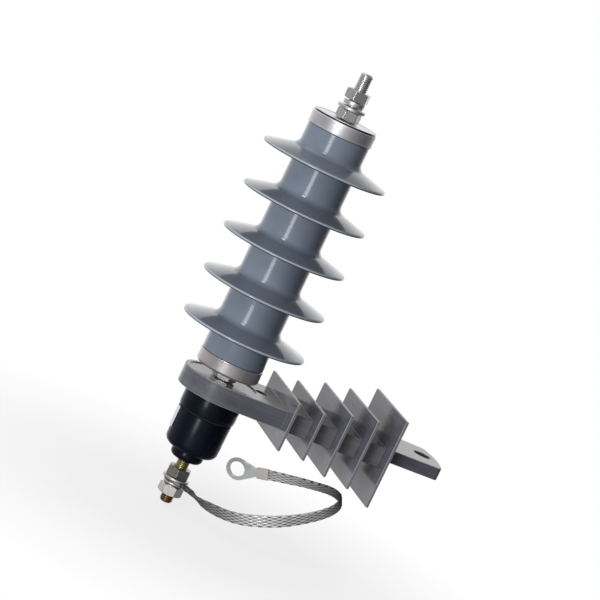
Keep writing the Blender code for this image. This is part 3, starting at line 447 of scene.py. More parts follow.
# %% Route of the lead
LEAD_ROUTE = (
    (0.0056, -0.0099, -0.0875), (0.0090, -0.0159, -0.0877), (0.0126, -0.0227, -0.0885),
    (0.0175, -0.0301, -0.0889), (0.0239, -0.0385, -0.0882), (0.0311, -0.0478, -0.0866),
    (0.0392, -0.0568, -0.0836), (0.0479, -0.0637, -0.0794), (0.0569, -0.0681, -0.0750),
    (0.0663, -0.0698, -0.0706), (0.0760, -0.0690, -0.0660), (0.0863, -0.0663, -0.0611),
    (0.0967, -0.0614, -0.0562), (0.1057, -0.0540, -0.0519), (0.1124, -0.0440, -0.0486),
    (0.1156, -0.0327, -0.0470), (0.1156, -0.0212, -0.0471), (0.1124, -0.0107, -0.0486),
    (0.1058, -0.0005, -0.0516), (0.0976, 0.0087, -0.0549), (0.0888, 0.0166, -0.0584),
    (0.0803, 0.0234, -0.0616), (0.0764, 0.0263, -0.0631),
)
# The strap's width at each point of its route, as a share of its usual width
WIDTH_SHARES = (
    1.02, 1.03, 1.04, 1.02, 1.00, 1.01, 1.04, 1.07, 1.07, 1.05, 1.00, 0.94,
    0.90, 0.88, 0.88, 0.87, 0.84, 0.81, 0.79, 0.82, 0.89, 0.92, 0.95,
)
STRAP_WIDTH = 0.0086
STRAP_THICKNESS = 0.0022
STRAP_TWIST_LENGTH = 0.040
LEAD_PLANE_LEAN = math.radians(25.5)
ROUTE_STEPS = 36
AROUND_STEPS = 64


def smooth_route(points, steps):
    """Points of a smooth curve through the route, with each one's place in the route as a number."""
    padded = [points[0] * 2 - points[1], *points, points[-1] * 2 - points[-2]]
    curve = []
    for index in range(1, len(padded) - 2):
        before, start, end, after = padded[index - 1 : index + 3]
        for step in range(steps):
            share = step / steps
            pull = start * 2 + (end - before) * share
            pull += (before * 2 - start * 5 + end * 4 - after) * share**2
            pull += (start * 3 - before - end * 3 + after) * share**3
            curve.append((pull / 2, index - 1 + share))
    curve.append((points[-1], len(points) - 1.0))
    return curve


def between(values, place):
    """The value at a place between the entries of a list."""
    index = min(int(place), len(values) - 2)
    return values[index] + (values[index + 1] - values[index]) * (place - index)


route_points = [AXIS_PLACE + Vector(point) for point in LEAD_ROUTE]
lead_curve = smooth_route(route_points, ROUTE_STEPS)
leaning = Vector((-math.sin(LEAD_PLANE_LEAN), 0, math.cos(LEAD_PLANE_LEAN)))
first_way = (lead_curve[1][0] - lead_curve[0][0]).normalized()
level_across = first_way.cross(Vector((0, 0, 1))).normalized()
if level_across.dot(leaning) < 0:
    level_across = -level_across

lead_rings = []
travelled = 0.0
for index, (point, place) in enumerate(lead_curve):
    before = lead_curve[max(index - 1, 0)][0]
    after = lead_curve[min(index + 1, len(lead_curve) - 1)][0]
    travelled += (point - before).length
    along = (after - before).normalized()
    share = min(travelled / STRAP_TWIST_LENGTH, 1.0)
    share = share * share * (3 - 2 * share)
    across = level_across.lerp(leaning, share)
    across = (across - along * across.dot(along)).normalized()
    width = STRAP_WIDTH * between(WIDTH_SHARES, place)
    lead_rings.append((point, along, across, width, travelled))
LEAD_LENGTH = travelled
print("lead", round(LEAD_LENGTH, 4), "m long in", len(lead_rings), "rings")

# %% [markdown]
# In a braid, one family of strands runs to the left and one to the right, and each passes over and under
# the other in turn. Two slanting coordinates count the strands of each family. A strand's height is its
# rounded section plus a slow wave, up where it passes over. The higher of the two families is what shows.

# %% Relief of the braid
STRANDS_PER_FAMILY = 8
BRAID_REPEAT = 0.0145
WAVE_HEIGHT = 0.00020
STRAND_ROUNDING = 0.00032
RELIEF_DEPTH = WAVE_HEIGHT + STRAND_ROUNDING
BRAID_MAP = "braid"


def braid_height(around, distance):
    """Height of the braid over its lowest level, at a share of the way round and a distance along it."""
    right = STRANDS_PER_FAMILY * around + distance / BRAID_REPEAT * 2
    left = STRANDS_PER_FAMILY * around - distance / BRAID_REPEAT * 2
    heights = []
    for own, other, sign in ((right, left, 1), (left, right, -1)):
        wave = sign * math.cos(math.pi * (other - 0.5 + math.floor(own)))
        section = 1 - (2 * (own - math.floor(own)) - 1) ** 2
        heights.append(WAVE_HEIGHT * wave + STRAND_ROUNDING * math.sqrt(section))
    return max(heights)


def flat_tube_point(half_width, half_depth, around):
    """A point round a flat tube with round edges, and the direction outwards there, across and through."""
    straight = 2 * (half_width - half_depth)
    bend = math.pi * half_depth
    distance = (around % 1.0) * 2 * (straight + bend)
    if distance < bend / 2 or distance > 2 * straight + 1.5 * bend:
        angle = distance / half_depth
        return (
            (half_width - half_depth + half_depth * math.cos(angle), half_depth * math.sin(angle)),
            (math.cos(angle), math.sin(angle)),
        )
    distance -= bend / 2
    if distance < straight:
        return (half_width - half_depth - distance, half_depth), (0.0, 1.0)
    distance -= straight
    if distance < bend:
        angle = math.pi / 2 + distance / half_depth
        return (
            (-half_width + half_depth + half_depth * math.cos(angle), half_depth * math.sin(angle)),
            (math.cos(angle), math.sin(angle)),
        )
    distance -= bend
    return (-half_width + half_depth + distance, -half_depth), (0.0, -1.0)


SAG_DEPTH = 0.00018
SAG_SCALE = 160


def make_braid_shape():
    shape = bmesh.new()
    bmesh.ops.create_grid(shape, x_segments=len(lead_rings) - 1, y_segments=AROUND_STEPS, size=0.5)
    layer = shape.loops.layers.uv.new(BRAID_MAP)
    flat_places = {}
    for vert in shape.verts:
        ring = lead_rings[round((vert.co.x + 0.5) * (len(lead_rings) - 1))]
        flat_places[vert] = (ring, vert.co.y + 0.5)
    for face in shape.faces:
        for loop in face.loops:
            (_, _, _, _, distance), around = flat_places[loop.vert]
            loop[layer].uv = (distance / BRAID_REPEAT * 2, around * STRANDS_PER_FAMILY)
    half_depth = STRAP_THICKNESS / 2 - RELIEF_DEPTH / 2
    for vert, ((point, along, across, width, distance), around) in flat_places.items():
        (u, v), (out_u, out_v) = flat_tube_point(width / 2 - RELIEF_DEPTH / 2, half_depth, around)
        rise = braid_height(around, distance)
        sag = SAG_DEPTH * noise.noise(Vector((distance * SAG_SCALE, around * 5, 1.7)))
        vert.co = point + across * (u + out_u * rise) + along.cross(across) * (v + out_v * (rise + sag))
    bmesh.ops.remove_doubles(shape, verts=shape.verts, dist=MERGE_DISTANCE)
    bmesh.ops.holes_fill(shape, edges=[edge for edge in shape.edges if edge.is_boundary], sides=0)
    return shape


# %% [markdown]
# The braid's material repeats the same two slanting coordinates in nodes, from the lead's own UV map. It
# picks the strand on top at each point, draws its eight fine wires as relief, paints shade into the creases
# between the wires and the gaps between the strands, and gives each strand its own shade of tin. Painted
# shade also darkens some stretches along the lead.


# %% Braided wire
def level_ramp(value, stops):
    """Grey levels read off a value through (place, level) stops, with both from 0 to 1."""
    ramp = add_node(value.id_data, "ShaderNodeValToRGB", {"Fac": value})
    entries = ramp.color_ramp.elements
    while len(entries) < len(stops):
        entries.new(0.5)
    for entry, (place, level) in zip(entries, stops):
        entry.position = place
        entry.color = (level, level, level, 1.0)
    return ramp.outputs["Color"]


def braid_side(own, other, sign):
    """The height of one family of strands, as in the mesh, with the strand's number and the place on it."""
    number = maths("FLOOR", own)
    place = maths("FRACT", own)
    phase = maths("ADD", maths("SUBTRACT", other, 0.5), number)
    wave = maths("COSINE", product(phase, math.pi))
    offset = maths("SUBTRACT", product(place, 2.0), 1.0)
    section = maths("SQRT", maths("SUBTRACT", 1.0, product(offset, offset)))
    rounding = product(section, STRAND_ROUNDING / RELIEF_DEPTH)
    return maths("ADD", product(wave, sign * WAVE_HEIGHT / RELIEF_DEPTH), rounding), number, place


WIRES_PER_STRAND = 8
STRAND_SHADES = ((0.86, 0.86, 0.86), (1.00, 1.00, 1.00))
TARNISH = (0.45, 0.45, 0.42)
# Painted shade in the creases between the wires
PAINTED_SHADE_BETWEEN_WIRES = (0.45, 0.45, 0.44)
# Painted shade along the lead
PAINTED_LEAD_SHADE = (0.018, 0.018, 0.017)
# Painted shade in the gaps between the strands
PAINTED_GAP_SHADE = (0.022, 0.022, 0.022)
# How much painted shade darkens the lead, by the distance along it in metres
PAINTED_SHADE_ALONG_LEAD = (
    (0.0, 0.86), (0.020, 0.82), (0.043, 0.64), (0.058, 0.30), (0.068, 0.0), (0.100, 0.0), (0.127, 0.05),
    (0.140, 0.45), (0.152, 0.95), (0.163, 1.0), (0.172, 0.92), (0.193, 0.70), (0.205, 0.50), (0.217, 0.32),
    (0.240, 0.08),
)


def make_braid_finish():
    material = new_finish("tinned_braid", (0.50, 0.50, 0.50), 0.28, 0.35, 0.2)
    tree = material.node_tree
    along, around, _ = split(add_node(tree, "ShaderNodeUVMap", uv_map=BRAID_MAP).outputs[0])
    right = maths("ADD", around, along)
    left = maths("SUBTRACT", around, along)
    right_height, *right_strand = braid_side(right, left, 1)
    left_height, *left_strand = braid_side(left, right, -1)
    on_top = maths("GREATER_THAN", left_height, right_height)
    number, place = (
        add_node(tree, "ShaderNodeMix", {0: on_top, 2: first, 3: second}, data_type="FLOAT").outputs[0]
        for first, second in zip(right_strand, left_strand)
    )
    wires = maths("ABSOLUTE", maths("SINE", product(place, math.pi * WIRES_PER_STRAND)))
    seed = maths("ADD", number, product(on_top, 51.0))
    strand = add_node(tree, "ShaderNodeTexWhiteNoise", {"W": seed}, noise_dimensions="1D").outputs["Value"]
    tarnish = grain(object_place(material), 60.0, 4.0)
    tin = blend_colours(strand, *STRAND_SHADES)
    tin = blend_colours(spread(tarnish, 0.45, 0.75, 0.0, 0.35), tin, TARNISH)
    # Painted shade in the creases between the wires
    wired = blend_colours(spread(wires, 0.05, 0.6), PAINTED_SHADE_BETWEEN_WIRES, tin)
    # Painted shade in stretches along the lead; it also raises the roughness there
    share = product(along, BRAID_REPEAT / 2 / LEAD_LENGTH)
    lead_shade = level_ramp(share, [(distance / LEAD_LENGTH, level) for distance, level in PAINTED_SHADE_ALONG_LEAD])
    wired = blend_colours(lead_shade, wired, PAINTED_LEAD_SHADE)
    # Painted shade in the gaps, where the braid lies low
    height = spread(maths("MAXIMUM", right_height, left_height), 0.40, 0.88)
    gloss = maths("ADD", spread(tarnish, 0.3, 0.7, 0.18, 0.28), product(lead_shade, 0.45))
    set_shader(material, {"Base Color": blend_colours(height, PAINTED_GAP_SHADE, wired), "Roughness": gloss})
    add_relief(material, wires, 0.00006, 0.6)
    return material


TINNED_BRAID = make_braid_finish()
BROWN_TIN = make_plate_finish("brown_tin", (0.34, 0.31, 0.29), (0.20, 0.18, 0.16), 0.38, 300.0)


# %% [markdown]
# Every finished shape becomes a piece in the same way: doubles merged, faces turned outwards, smooth
# shading kept apart at sharp edges, its place put in its mesh, the piece hung on the root body and the
# node that it replaces hidden.


# %% From a shape to a piece
def into_mesh(name, shape):
    mesh = bpy.data.meshes.new(name)
    shape.to_mesh(mesh)
    shape.free()
    return mesh


def finish_piece(name, node, shape, material, crease=35.0, where=Matrix.Translation(AXIS_PLACE)):
    """A piece that replaces a node; crease is the angle in degrees from which an edge stays sharp."""
    bmesh.ops.remove_doubles(shape, verts=shape.verts, dist=MERGE_DISTANCE)
    bmesh.ops.recalc_face_normals(shape, faces=shape.faces)
    mesh = into_mesh(name, shape)
    mesh.transform(where)
    mesh.shade_smooth()
    mesh.set_sharp_from_angle(angle=math.radians(crease))
    mesh.materials.append(material)
    piece = add_object(name, mesh)
    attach(piece, "root")
    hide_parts(node)
    mesh.calc_loop_triangles()
    print(name, len(mesh.loop_triangles), "triangles")
    return piece


braid_shape = make_braid_shape()
lead = finish_piece(
    "braided_lead", "earth_lead", braid_shape, TINNED_BRAID, 60.0, Matrix.Identity(4)
)

# %% [markdown]
# Turned pieces come from a lathe, and here they come from a spin. Half of the section is drawn as a wire
# of a few corners. A vertex bevel rounds each corner that the tool rounds, and the spin sweeps the wire
# round the axis. Merging afterwards closes the seam and the poles.

# %% A lathe
LARGE_ROUNDING = 0.002


def bevel(shape, geom, offset, segments, affect="EDGES", material=-1):
    bmesh.ops.bevel(
        shape,
        geom=geom,
        offset=offset,
        segments=segments,
        profile=0.5,
        affect=affect,
        clamp_overlap=False,
        material=material,
    )


def spin(shape, steps, angle=FULL_TURN, climb=0.0, merge=False):
    """Sweeps a shape round the axis; climb is how far it rises on the way."""
    bmesh.ops.spin(
        shape,
        geom=shape.verts[:] + shape.edges[:] + shape.faces[:],
        axis=(0, 0, 1),
        cent=(0, 0, 0),
        dvec=(0, 0, climb / steps),
        angle=angle,
        steps=steps,
        use_merge=merge,
        use_duplicate=False,
    )


def turned_shape(section, closed=True, steps=120):
    """Spins a section of (radius, height, rounding) corners about the axis.

    A closed section is a ring's; an open one starts and ends on the axis.
    """
    shape = bmesh.new()
    corners = [shape.verts.new((radius, 0, height)) for radius, height, _ in section]
    pairs = list(zip(corners, corners[1:]))
    if closed:
        pairs.append((corners[-1], corners[0]))
    for pair in pairs:
        shape.edges.new(pair)
    for corner, (_, _, rounding) in zip(corners, section):
        if rounding:
            bevel(shape, [corner], rounding, 3 if rounding < LARGE_ROUNDING else 9, "VERTICES")
    spin(shape, steps, merge=True)
    return shape


# %% [markdown]
# The housing is a sleeve with five sheds. A shed falls outwards on top, so that rain runs off, and is
# hollow below, so that its underside stays dry. Its root has a wide fillet above and a small one below.

# %% Silicone housing
BODY_RADIUS = 0.025
HOUSING_WALL = 0.0042
SHED_COUNT = 5
SHED_RADIUS = 0.050
SHED_PITCH = 0.0353
LOWEST_SHED_RISE = 0.0204
SHED_RIM = 0.0022
SHED_TOP_SLOPE = math.radians(15.5)
SHED_UNDER_SLOPE = math.radians(5.0)
TOP_FILLET = 0.0047
UNDER_FILLET = 0.0027
RIM_ROUNDING = 0.00105

housing_foot, housing_top = span_of("silicone_housing")
overhang = SHED_RADIUS - BODY_RADIUS
housing_section = [(BODY_RADIUS - HOUSING_WALL, housing_top, 0), (BODY_RADIUS, housing_top, 0.0004)]
for index in reversed(range(SHED_COUNT)):
    rim = housing_foot + LOWEST_SHED_RISE + SHED_PITCH * index
    rim_top = rim + SHED_RIM / 2 * math.cos(SHED_TOP_SLOPE)
    rim_foot = rim - SHED_RIM / 2
    housing_section += [
        (BODY_RADIUS, rim_top + overhang * math.tan(SHED_TOP_SLOPE), TOP_FILLET),
        (SHED_RADIUS, rim_top, RIM_ROUNDING),
        (SHED_RADIUS, rim_foot, RIM_ROUNDING),
        (BODY_RADIUS, rim_foot + overhang * math.tan(SHED_UNDER_SLOPE), UNDER_FILLET),
    ]
housing_section += [(BODY_RADIUS, housing_foot, 0.0004), (BODY_RADIUS - HOUSING_WALL, housing_foot, 0)]
housing_shape = turned_shape(housing_section, steps=144)
finish_piece("shed_housing", "silicone_housing", housing_shape, SILICONE)

# %% [markdown]
# The upper end cap has a thin raised rim, a groove below it, a shoulder and a lip that holds the rubber.
# Each is under a millimetre, but each draws its own line of light, so all of them are in the section.

# %% End caps
PLUG_RADIUS = 0.0180
THREAD_BORE = 0.0054
CAP_JOINT = 0.0003

cap_foot, cap_top = span_of("top_cap")
body_foot = housing_top + CAP_JOINT
radius = radius_of("top_cap")
dish = cap_top - 0.0003
bore_foot = dish - 0.0117
top_cap_section = [
    (0, bore_foot, 0),
    (THREAD_BORE, bore_foot, 0),
    (THREAD_BORE, dish, 0.0004),
    (radius - 0.0026, dish, 0),
    (radius - 0.0022, cap_top, 0.00015),
    (radius - 0.0005, cap_top, 0.0002),
    (radius - 0.0006, cap_top - 0.0005, 0.0001),
    (radius - 0.0032, cap_top - 0.0006, 0),
    (radius - 0.0032, cap_top - 0.0015, 0),
    (radius, cap_top - 0.0015, 0.0004),
    (radius - 0.0003, body_foot + 0.0013, 0.0002),
    (radius, body_foot + 0.0011, 0.0001),
    (radius, body_foot, 0.0003),
    (PLUG_RADIUS, body_foot, 0),
    (PLUG_RADIUS, cap_foot, 0.0005),
    (0, cap_foot, 0),
]
top_cap_shape = turned_shape(top_cap_section, closed=False)
finish_piece("upper_end_cap", "top_cap", top_cap_shape, CAP_ALUMINIUM)

cap_foot, cap_top = span_of("bottom_cap")
body_top = housing_foot - CAP_JOINT
radius = radius_of("bottom_cap")
bore_top = cap_foot + 0.0123
bottom_cap_section = [
    (0, cap_top, 0),
    (PLUG_RADIUS, cap_top, 0.0005),
    (PLUG_RADIUS, body_top, 0),
    (radius, body_top, 0.0003),
    (radius, body_top - 0.0011, 0.0001),
    (radius - 0.0002, body_top - 0.0013, 0.0001),
    (radius, cap_foot + 0.0016, 0.0004),
    (radius - 0.0016, cap_foot, 0.0003),
    (THREAD_BORE, cap_foot, 0),
    (THREAD_BORE, bore_top, 0),
    (0, bore_top, 0),
]
bottom_cap_shape = turned_shape(bottom_cap_section, closed=False)
finish_piece("lower_end_cap", "bottom_cap", bottom_cap_shape, LOWER_CAP_ALUMINIUM)

# %% [markdown]
# A thread is a spin that also climbs. A zigzag with one tooth per turn climbs one tooth in a full turn, so
# its end meets its start one tooth higher, and merging joins them into one helix. Two flat cuts then trim
# the ragged ends, and the tip is turned to a cone.

# %% Threaded studs
STUD_RADIUS = 0.005
STUD_TIP = 0.0014
THREAD_PITCH = 0.0015
THREAD_DEPTH = 0.0006
THREAD_STEPS = 48
# A tooth as (depth, rise) shares: a broad rolled crest, two flanks and a round root
TOOTH = ((0.0, 0.0), (0.0, 0.2), (0.03, 0.38), (0.5, 0.56), (1.0, 0.7), (0.5, 0.84), (0.03, 0.96))


def cut_level(shape, height, upward):
    """Cuts off what lies above a height, or below it where upward is -1, and closes the cut."""
    cut = bmesh.ops.bisect_plane(
        shape,
        geom=shape.verts[:] + shape.edges[:] + shape.faces[:],
        dist=MERGE_DISTANCE,
        plane_co=(0, 0, height),
        plane_no=(0, 0, upward),
        clear_outer=True,
    )
    open_edges = [item for item in cut["geom_cut"] if isinstance(item, bmesh.types.BMEdge)]
    bmesh.ops.holes_fill(shape, edges=[edge for edge in open_edges if edge.is_boundary], sides=0)


def threaded_shape(foot, top, tip_foot=0.0, tip_top=0.0):
    """A threaded bar whose ends are turned down over the given lengths."""
    shape = bmesh.new()
    chain = []
    for tooth in range(-2, math.ceil((top - foot) / THREAD_PITCH) + 1):
        for depth, rise in TOOTH:
            height = foot + (tooth + rise) * THREAD_PITCH
            chain.append(shape.verts.new((STUD_RADIUS - THREAD_DEPTH * depth, 0, height)))
    for pair in zip(chain, chain[1:]):
        shape.edges.new(pair)
    spin(shape, THREAD_STEPS, climb=THREAD_PITCH)
    bmesh.ops.remove_doubles(shape, verts=shape.verts, dist=MERGE_DISTANCE)
    cut_level(shape, top, 1)
    cut_level(shape, foot, -1)
    for vert in shape.verts:
        limit = STUD_RADIUS - max(0.0, vert.co.z - (top - tip_top), foot + tip_foot - vert.co.z)
        reach = vert.co.xy.length
        if reach > limit:
            vert.co.xy *= limit / reach
    return shape


line_stud_shape = threaded_shape(*span_of("line_stud"), tip_top=STUD_TIP)
finish_piece("line_terminal_stud", "line_stud", line_stud_shape, ZINC_PLATE, 60.0)
print("line stud from", span_of("line_stud"))

# %% [markdown]
# A nut is a hexagon whose corners are turned off at thirty degrees, and that cut leaves the curved edges
# on its faces. One ring of points, pulled out to the hexagon, makes it: the further out a point of the
# ring is, the lower the chamfer sets it. The rings from bore to bore are extruded one after another.

# %% Nuts
NUT_HALF_FLATS = 0.0085
NUT_FACE_RADIUS = 0.0082
NUT_CHAMFER_SLOPE = math.tan(math.radians(30))
NUT_BORE = 0.0051
NUT_COUNTERSINK = 0.0007
NUT_CORNER_BREAK = 0.00040
NUT_POINTS = 96


def hexagon_radius(angle):
    """Distance from the axis to the hexagon's side at an angle."""
    return NUT_HALF_FLATS / math.cos((angle % (math.pi / 3)) - math.pi / 6)


def turn_shape(shape, angle, axis="Z"):
    bmesh.ops.rotate(shape, verts=shape.verts, cent=(0, 0, 0), matrix=Matrix.Rotation(angle, 3, axis))


def nut_shape(foot, top, turn):
    shape = bmesh.new()
    bmesh.ops.create_circle(shape, cap_ends=False, segments=NUT_POINTS, radius=1.0)
    # Each ring as (radius, height); the rings of the hexagon itself have no radius of their own
    upper_rings = (
        (NUT_BORE, top - NUT_COUNTERSINK),
        (NUT_BORE + NUT_COUNTERSINK, top),
        (NUT_FACE_RADIUS, top),
        (None, top),
    )
    rings = upper_rings + tuple((radius, foot + top - height) for radius, height in reversed(upper_rings))
    edges = shape.edges[:]
    placed = [(shape.verts[:], rings[0])]
    for ring in rings[1:]:
        grown = bmesh.ops.extrude_edge_only(shape, edges=edges)["geom"]
        verts = [item for item in grown if isinstance(item, bmesh.types.BMVert)]
        edges = [item for item in grown if isinstance(item, bmesh.types.BMEdge)]
        edges = [edge for edge in edges if all(vert in verts for vert in edge.verts)]
        placed.append((verts, ring))
    for verts, (fixed_radius, height) in placed:
        for vert in verts:
            angle = math.atan2(vert.co.y, vert.co.x)
            radius = fixed_radius or hexagon_radius(angle)
            inset = 0.0 if fixed_radius else max(0.0, radius - NUT_FACE_RADIUS) * NUT_CHAMFER_SLOPE
            level = height - inset if height == top else height + inset
            vert.co = (radius * math.cos(angle), radius * math.sin(angle), level)
    bmesh.ops.bridge_loops(shape, edges=[edge for edge in shape.edges if edge.is_boundary])
    corners = []
    for edge in shape.edges:
        start, end = (vert.co for vert in edge.verts)
        if min(start.xy.length, end.xy.length) > NUT_HALF_FLATS * 1.15 and abs(start.z - end.z) > 0.002:
            corners.append(edge)
    bevel(shape, corners, NUT_CORNER_BREAK, 3)
    turn_shape(shape, turn)
    return shape


# Each nut stopped where the spanner left it; its turn is that of one corner from the arm's direction
for name, node, turn, plate in (
    ("seat_hex_nut", "seat_nut", 41.0, ZINC_PLATE),
    ("lower_hex_nut", "line_lower_nut", 53.0, ZINC_PLATE),
    ("upper_hex_nut", "line_upper_nut", 61.0, ZINC_PLATE),
    ("inner_hex_nut", "earth_inner_nut", 71.0, DULL_ZINC_PLATE),
    ("outer_hex_nut", "earth_outer_nut", 41.0, ZINC_PLATE),
):
    finish_piece(name, node, nut_shape(*span_of(node), math.radians(turn)), plate, 24.0)

# %% [markdown]
# Flat washers are turned rings with a slightly rolled edge. A spring washer is one coil of square wire,
# cut through: its square is swept round most of a turn while it climbs, and its edges are broken.

# %% Washers
WASHER_BORE = 0.0056
SPRING_BORE = 0.0054
SPRING_RIM = 0.0082
SPRING_SPLIT = math.radians(14.0)
SPRING_STEPS = 72
SPRING_EDGE_BREAK = 0.0002


def flat_washer_shape(node):
    foot, top = span_of(node)
    radius = radius_of(node)
    section = [
        (WASHER_BORE, top, 0.0002),
        (radius, top, 0.00045),
        (radius, foot, 0.00025),
        (WASHER_BORE, foot, 0.0002),
    ]
    return turned_shape(section, steps=96)


def spring_washer_shape(node, thickness):
    foot, top = span_of(node)
    shape = bmesh.new()
    places = [(radius, foot) for radius in (SPRING_BORE, SPRING_RIM)]
    places += [(radius, foot + thickness) for radius in (SPRING_RIM, SPRING_BORE)]
    corners = [shape.verts.new((radius, 0, height)) for radius, height in places]
    shape.faces.new(corners)
    bevel(shape, corners, SPRING_EDGE_BREAK, 2, "VERTICES")
    spin(shape, SPRING_STEPS, FULL_TURN - SPRING_SPLIT, climb=top - foot - thickness)
    return shape


for name, node, shape in (
    ("line_washer", "line_flat_washer", flat_washer_shape("line_flat_washer")),
    ("line_split_washer", "line_spring_washer", spring_washer_shape("line_spring_washer", 0.0032)),
    ("earth_washer", "earth_flat_washer", flat_washer_shape("earth_flat_washer")),
    ("earth_split_washer", "earth_spring_washer", spring_washer_shape("earth_spring_washer", 0.0016)),
):
    finish_piece(name, node, shape, WASHER_PLATE, 40.0)

# %% [markdown]
# The disconnector is three mouldings: a lid with an upright wall, a thin seal and a deep cup whose floor
# runs round into a collar for the earth stud. Large fillets on the cup give the long soft highlights.

# %% Disconnector
LID_WALL = 0.0032
LID_TOP_THICKNESS = 0.004
INSERT_BORE = 0.0088
CUP_LENGTH = 0.030
CUP_FLOOR_THICKNESS = 0.0045
CUP_FILLET = 0.0062
CUP_DRAFT = 0.0005
NOSE_RADIUS = 0.0130
NOSE_FILLET = 0.0040
CUP_CAVITY = 0.0157

lid_foot, lid_top = span_of("disconnector_lid")
lid_radius = radius_of("disconnector_lid")
lid_ceiling = lid_top - LID_TOP_THICKNESS
lid_section = [
    (INSERT_BORE, lid_top, 0),
    (lid_radius, lid_top, 0.0006),
    (lid_radius, lid_foot + 0.0021, 0.0002),
    (lid_radius - 0.0003, lid_foot + 0.0018, 0.0001),
    (lid_radius - 0.0003, lid_foot, 0.0004),
    (lid_radius - LID_WALL, lid_foot, 0),
    (lid_radius - LID_WALL, lid_ceiling, 0),
    (INSERT_BORE, lid_ceiling, 0),
]
lid_shape = turned_shape(lid_section)
finish_piece("disconnector_lid_shell", "disconnector_lid", lid_shape, BLACK_PLASTIC)

cup_foot, spigot_top = span_of("disconnector_cup")
cup_top = span_of("disconnector_seal")[0] - 0.0003
cup_radius = radius_of("disconnector_cup")
cup_floor = cup_top - CUP_LENGTH
spigot_radius = lid_radius - LID_WALL - 0.0003
cup_section = [
    (CUP_CAVITY, spigot_top, 0.0003),
    (spigot_radius, spigot_top, 0.0003),
    (spigot_radius, cup_top, 0),
    (cup_radius, cup_top, 0.0005),
    (cup_radius - CUP_DRAFT, cup_floor, CUP_FILLET),
    (NOSE_RADIUS - 0.0006, cup_floor, 0.0009),
    (NOSE_RADIUS, cup_floor - 0.0020, 0.0006),
    (NOSE_RADIUS, cup_foot, NOSE_FILLET),
    (THREAD_BORE, cup_foot, 0.0004),
    (THREAD_BORE, cup_floor + CUP_FLOOR_THICKNESS, 0),
    (CUP_CAVITY, cup_floor + CUP_FLOOR_THICKNESS, 0),
]
cup_shape = turned_shape(cup_section)
finish_piece("disconnector_cup_shell", "disconnector_cup", cup_shape, BLACK_PLASTIC)

# %% [markdown]
# The label is a film on the cup. A grid gives its sheet, each point is rolled on to the cup, and solidify
# gives it the film's thickness. It is left bare.

# %% Label
LABEL_CENTRE = math.radians(143.0)
LABEL_SPREAD = math.radians(88.0)
LABEL_HEIGHT = 0.017
LABEL_DROP = 0.0003
LABEL_FILM_THICKNESS = 0.0002

label_shape = bmesh.new()
bmesh.ops.create_grid(label_shape, x_segments=40, y_segments=8, size=0.5)
label_radius = cup_radius + 0.0005
for vert in label_shape.verts:
    angle = LABEL_CENTRE + LABEL_SPREAD * vert.co.x
    height = cup_top - LABEL_DROP - LABEL_HEIGHT * (0.5 - vert.co.y)
    vert.co = (label_radius * math.cos(angle), label_radius * math.sin(angle), height)
bmesh.ops.recalc_face_normals(label_shape, faces=label_shape.faces)
outward = sum((face.normal.dot(face.calc_center_median()) for face in label_shape.faces), 0.0)
if outward < 0:
    bmesh.ops.reverse_faces(label_shape, faces=label_shape.faces)
bmesh.ops.solidify(label_shape, geom=label_shape.faces[:], thickness=LABEL_FILM_THICKNESS)
finish_piece("blank_cup_label", "blank_label", label_shape, LABEL_FILM)

# %% [markdown]
# The earth stud leaves the collar with a round head inside the cup. Its lower end has lost its yellow film
# to a coppery brown, so its colour changes with height as well as in patches.

# %% Earth stud
HEAD_RADIUS = 0.0125
HEAD_THICKNESS = 0.0030
BROWN_START = -0.0975
BROWN_FULL = -0.1005

EARTH_STUD_PLATE = make_plate_finish("earth_stud_plate", (0.66, 0.60, 0.34), (0.44, 0.38, 0.17), 0.28, 180.0)
stud_height = split(object_place(EARTH_STUD_PLATE, centre=AXIS_PLACE))["Z"]
tint(EARTH_STUD_PLATE, spread(stud_height, BROWN_START, BROWN_FULL), (0.36, 0.24, 0.13))

earth_tip, earth_head_top = span_of("earth_stud")
head_foot = earth_head_top - HEAD_THICKNESS
head_section = [
    (0, earth_head_top, 0),
    (HEAD_RADIUS, earth_head_top, 0.0003),
    (HEAD_RADIUS, head_foot, 0.0003),
    (0, head_foot, 0),
]
earth_shape = threaded_shape(earth_tip, head_foot, tip_foot=STUD_TIP)
head_mesh = into_mesh("carrier", turned_shape(head_section, closed=False, steps=48))
earth_shape.from_mesh(head_mesh)
bpy.data.meshes.remove(head_mesh)
finish_piece("earth_terminal_stud", "earth_stud", earth_shape, EARTH_STUD_PLATE, 60.0)

# %% [markdown]
# The bracket is one moulding, but it is easiest to think of as simple blocks: a drum, a tapering arm, five
# plates and a tongue. Exact booleans join the blocks and cut the holes, and a bevel then breaks every
# sharp edge and fills every inner corner, as the mould does.


# %% Helpers for the bracket and the lug
def plate_shape(outline, low, high):
    """A closed outline in the level plane as a solid between two heights."""
    shape = bmesh.new()
    face = shape.faces.new([shape.verts.new((x, y, low)) for x, y in outline])
    grown = bmesh.ops.extrude_face_region(shape, geom=[face])["geom"]
    lifted = [item for item in grown if isinstance(item, bmesh.types.BMVert)]
    bmesh.ops.translate(shape, vec=(0, 0, high - low), verts=lifted)
    bmesh.ops.recalc_face_normals(shape, faces=shape.faces)
    return shape


def block_shape(low, high):
    shape = bmesh.new()
    bmesh.ops.create_cube(shape, size=1)
    bmesh.ops.scale(shape, vec=Vector(high) - Vector(low), verts=shape.verts)
    bmesh.ops.translate(shape, vec=(Vector(low) + Vector(high)) / 2, verts=shape.verts)
    return shape


def bore_shape(radius, low, high, x=0.0, steps=72):
    shape = bmesh.new()
    size = {"radius1": radius, "radius2": radius, "depth": high - low}
    bmesh.ops.create_cone(shape, cap_ends=True, segments=steps, **size)
    bmesh.ops.translate(shape, vec=(x, 0, (high + low) / 2), verts=shape.verts)
    return shape


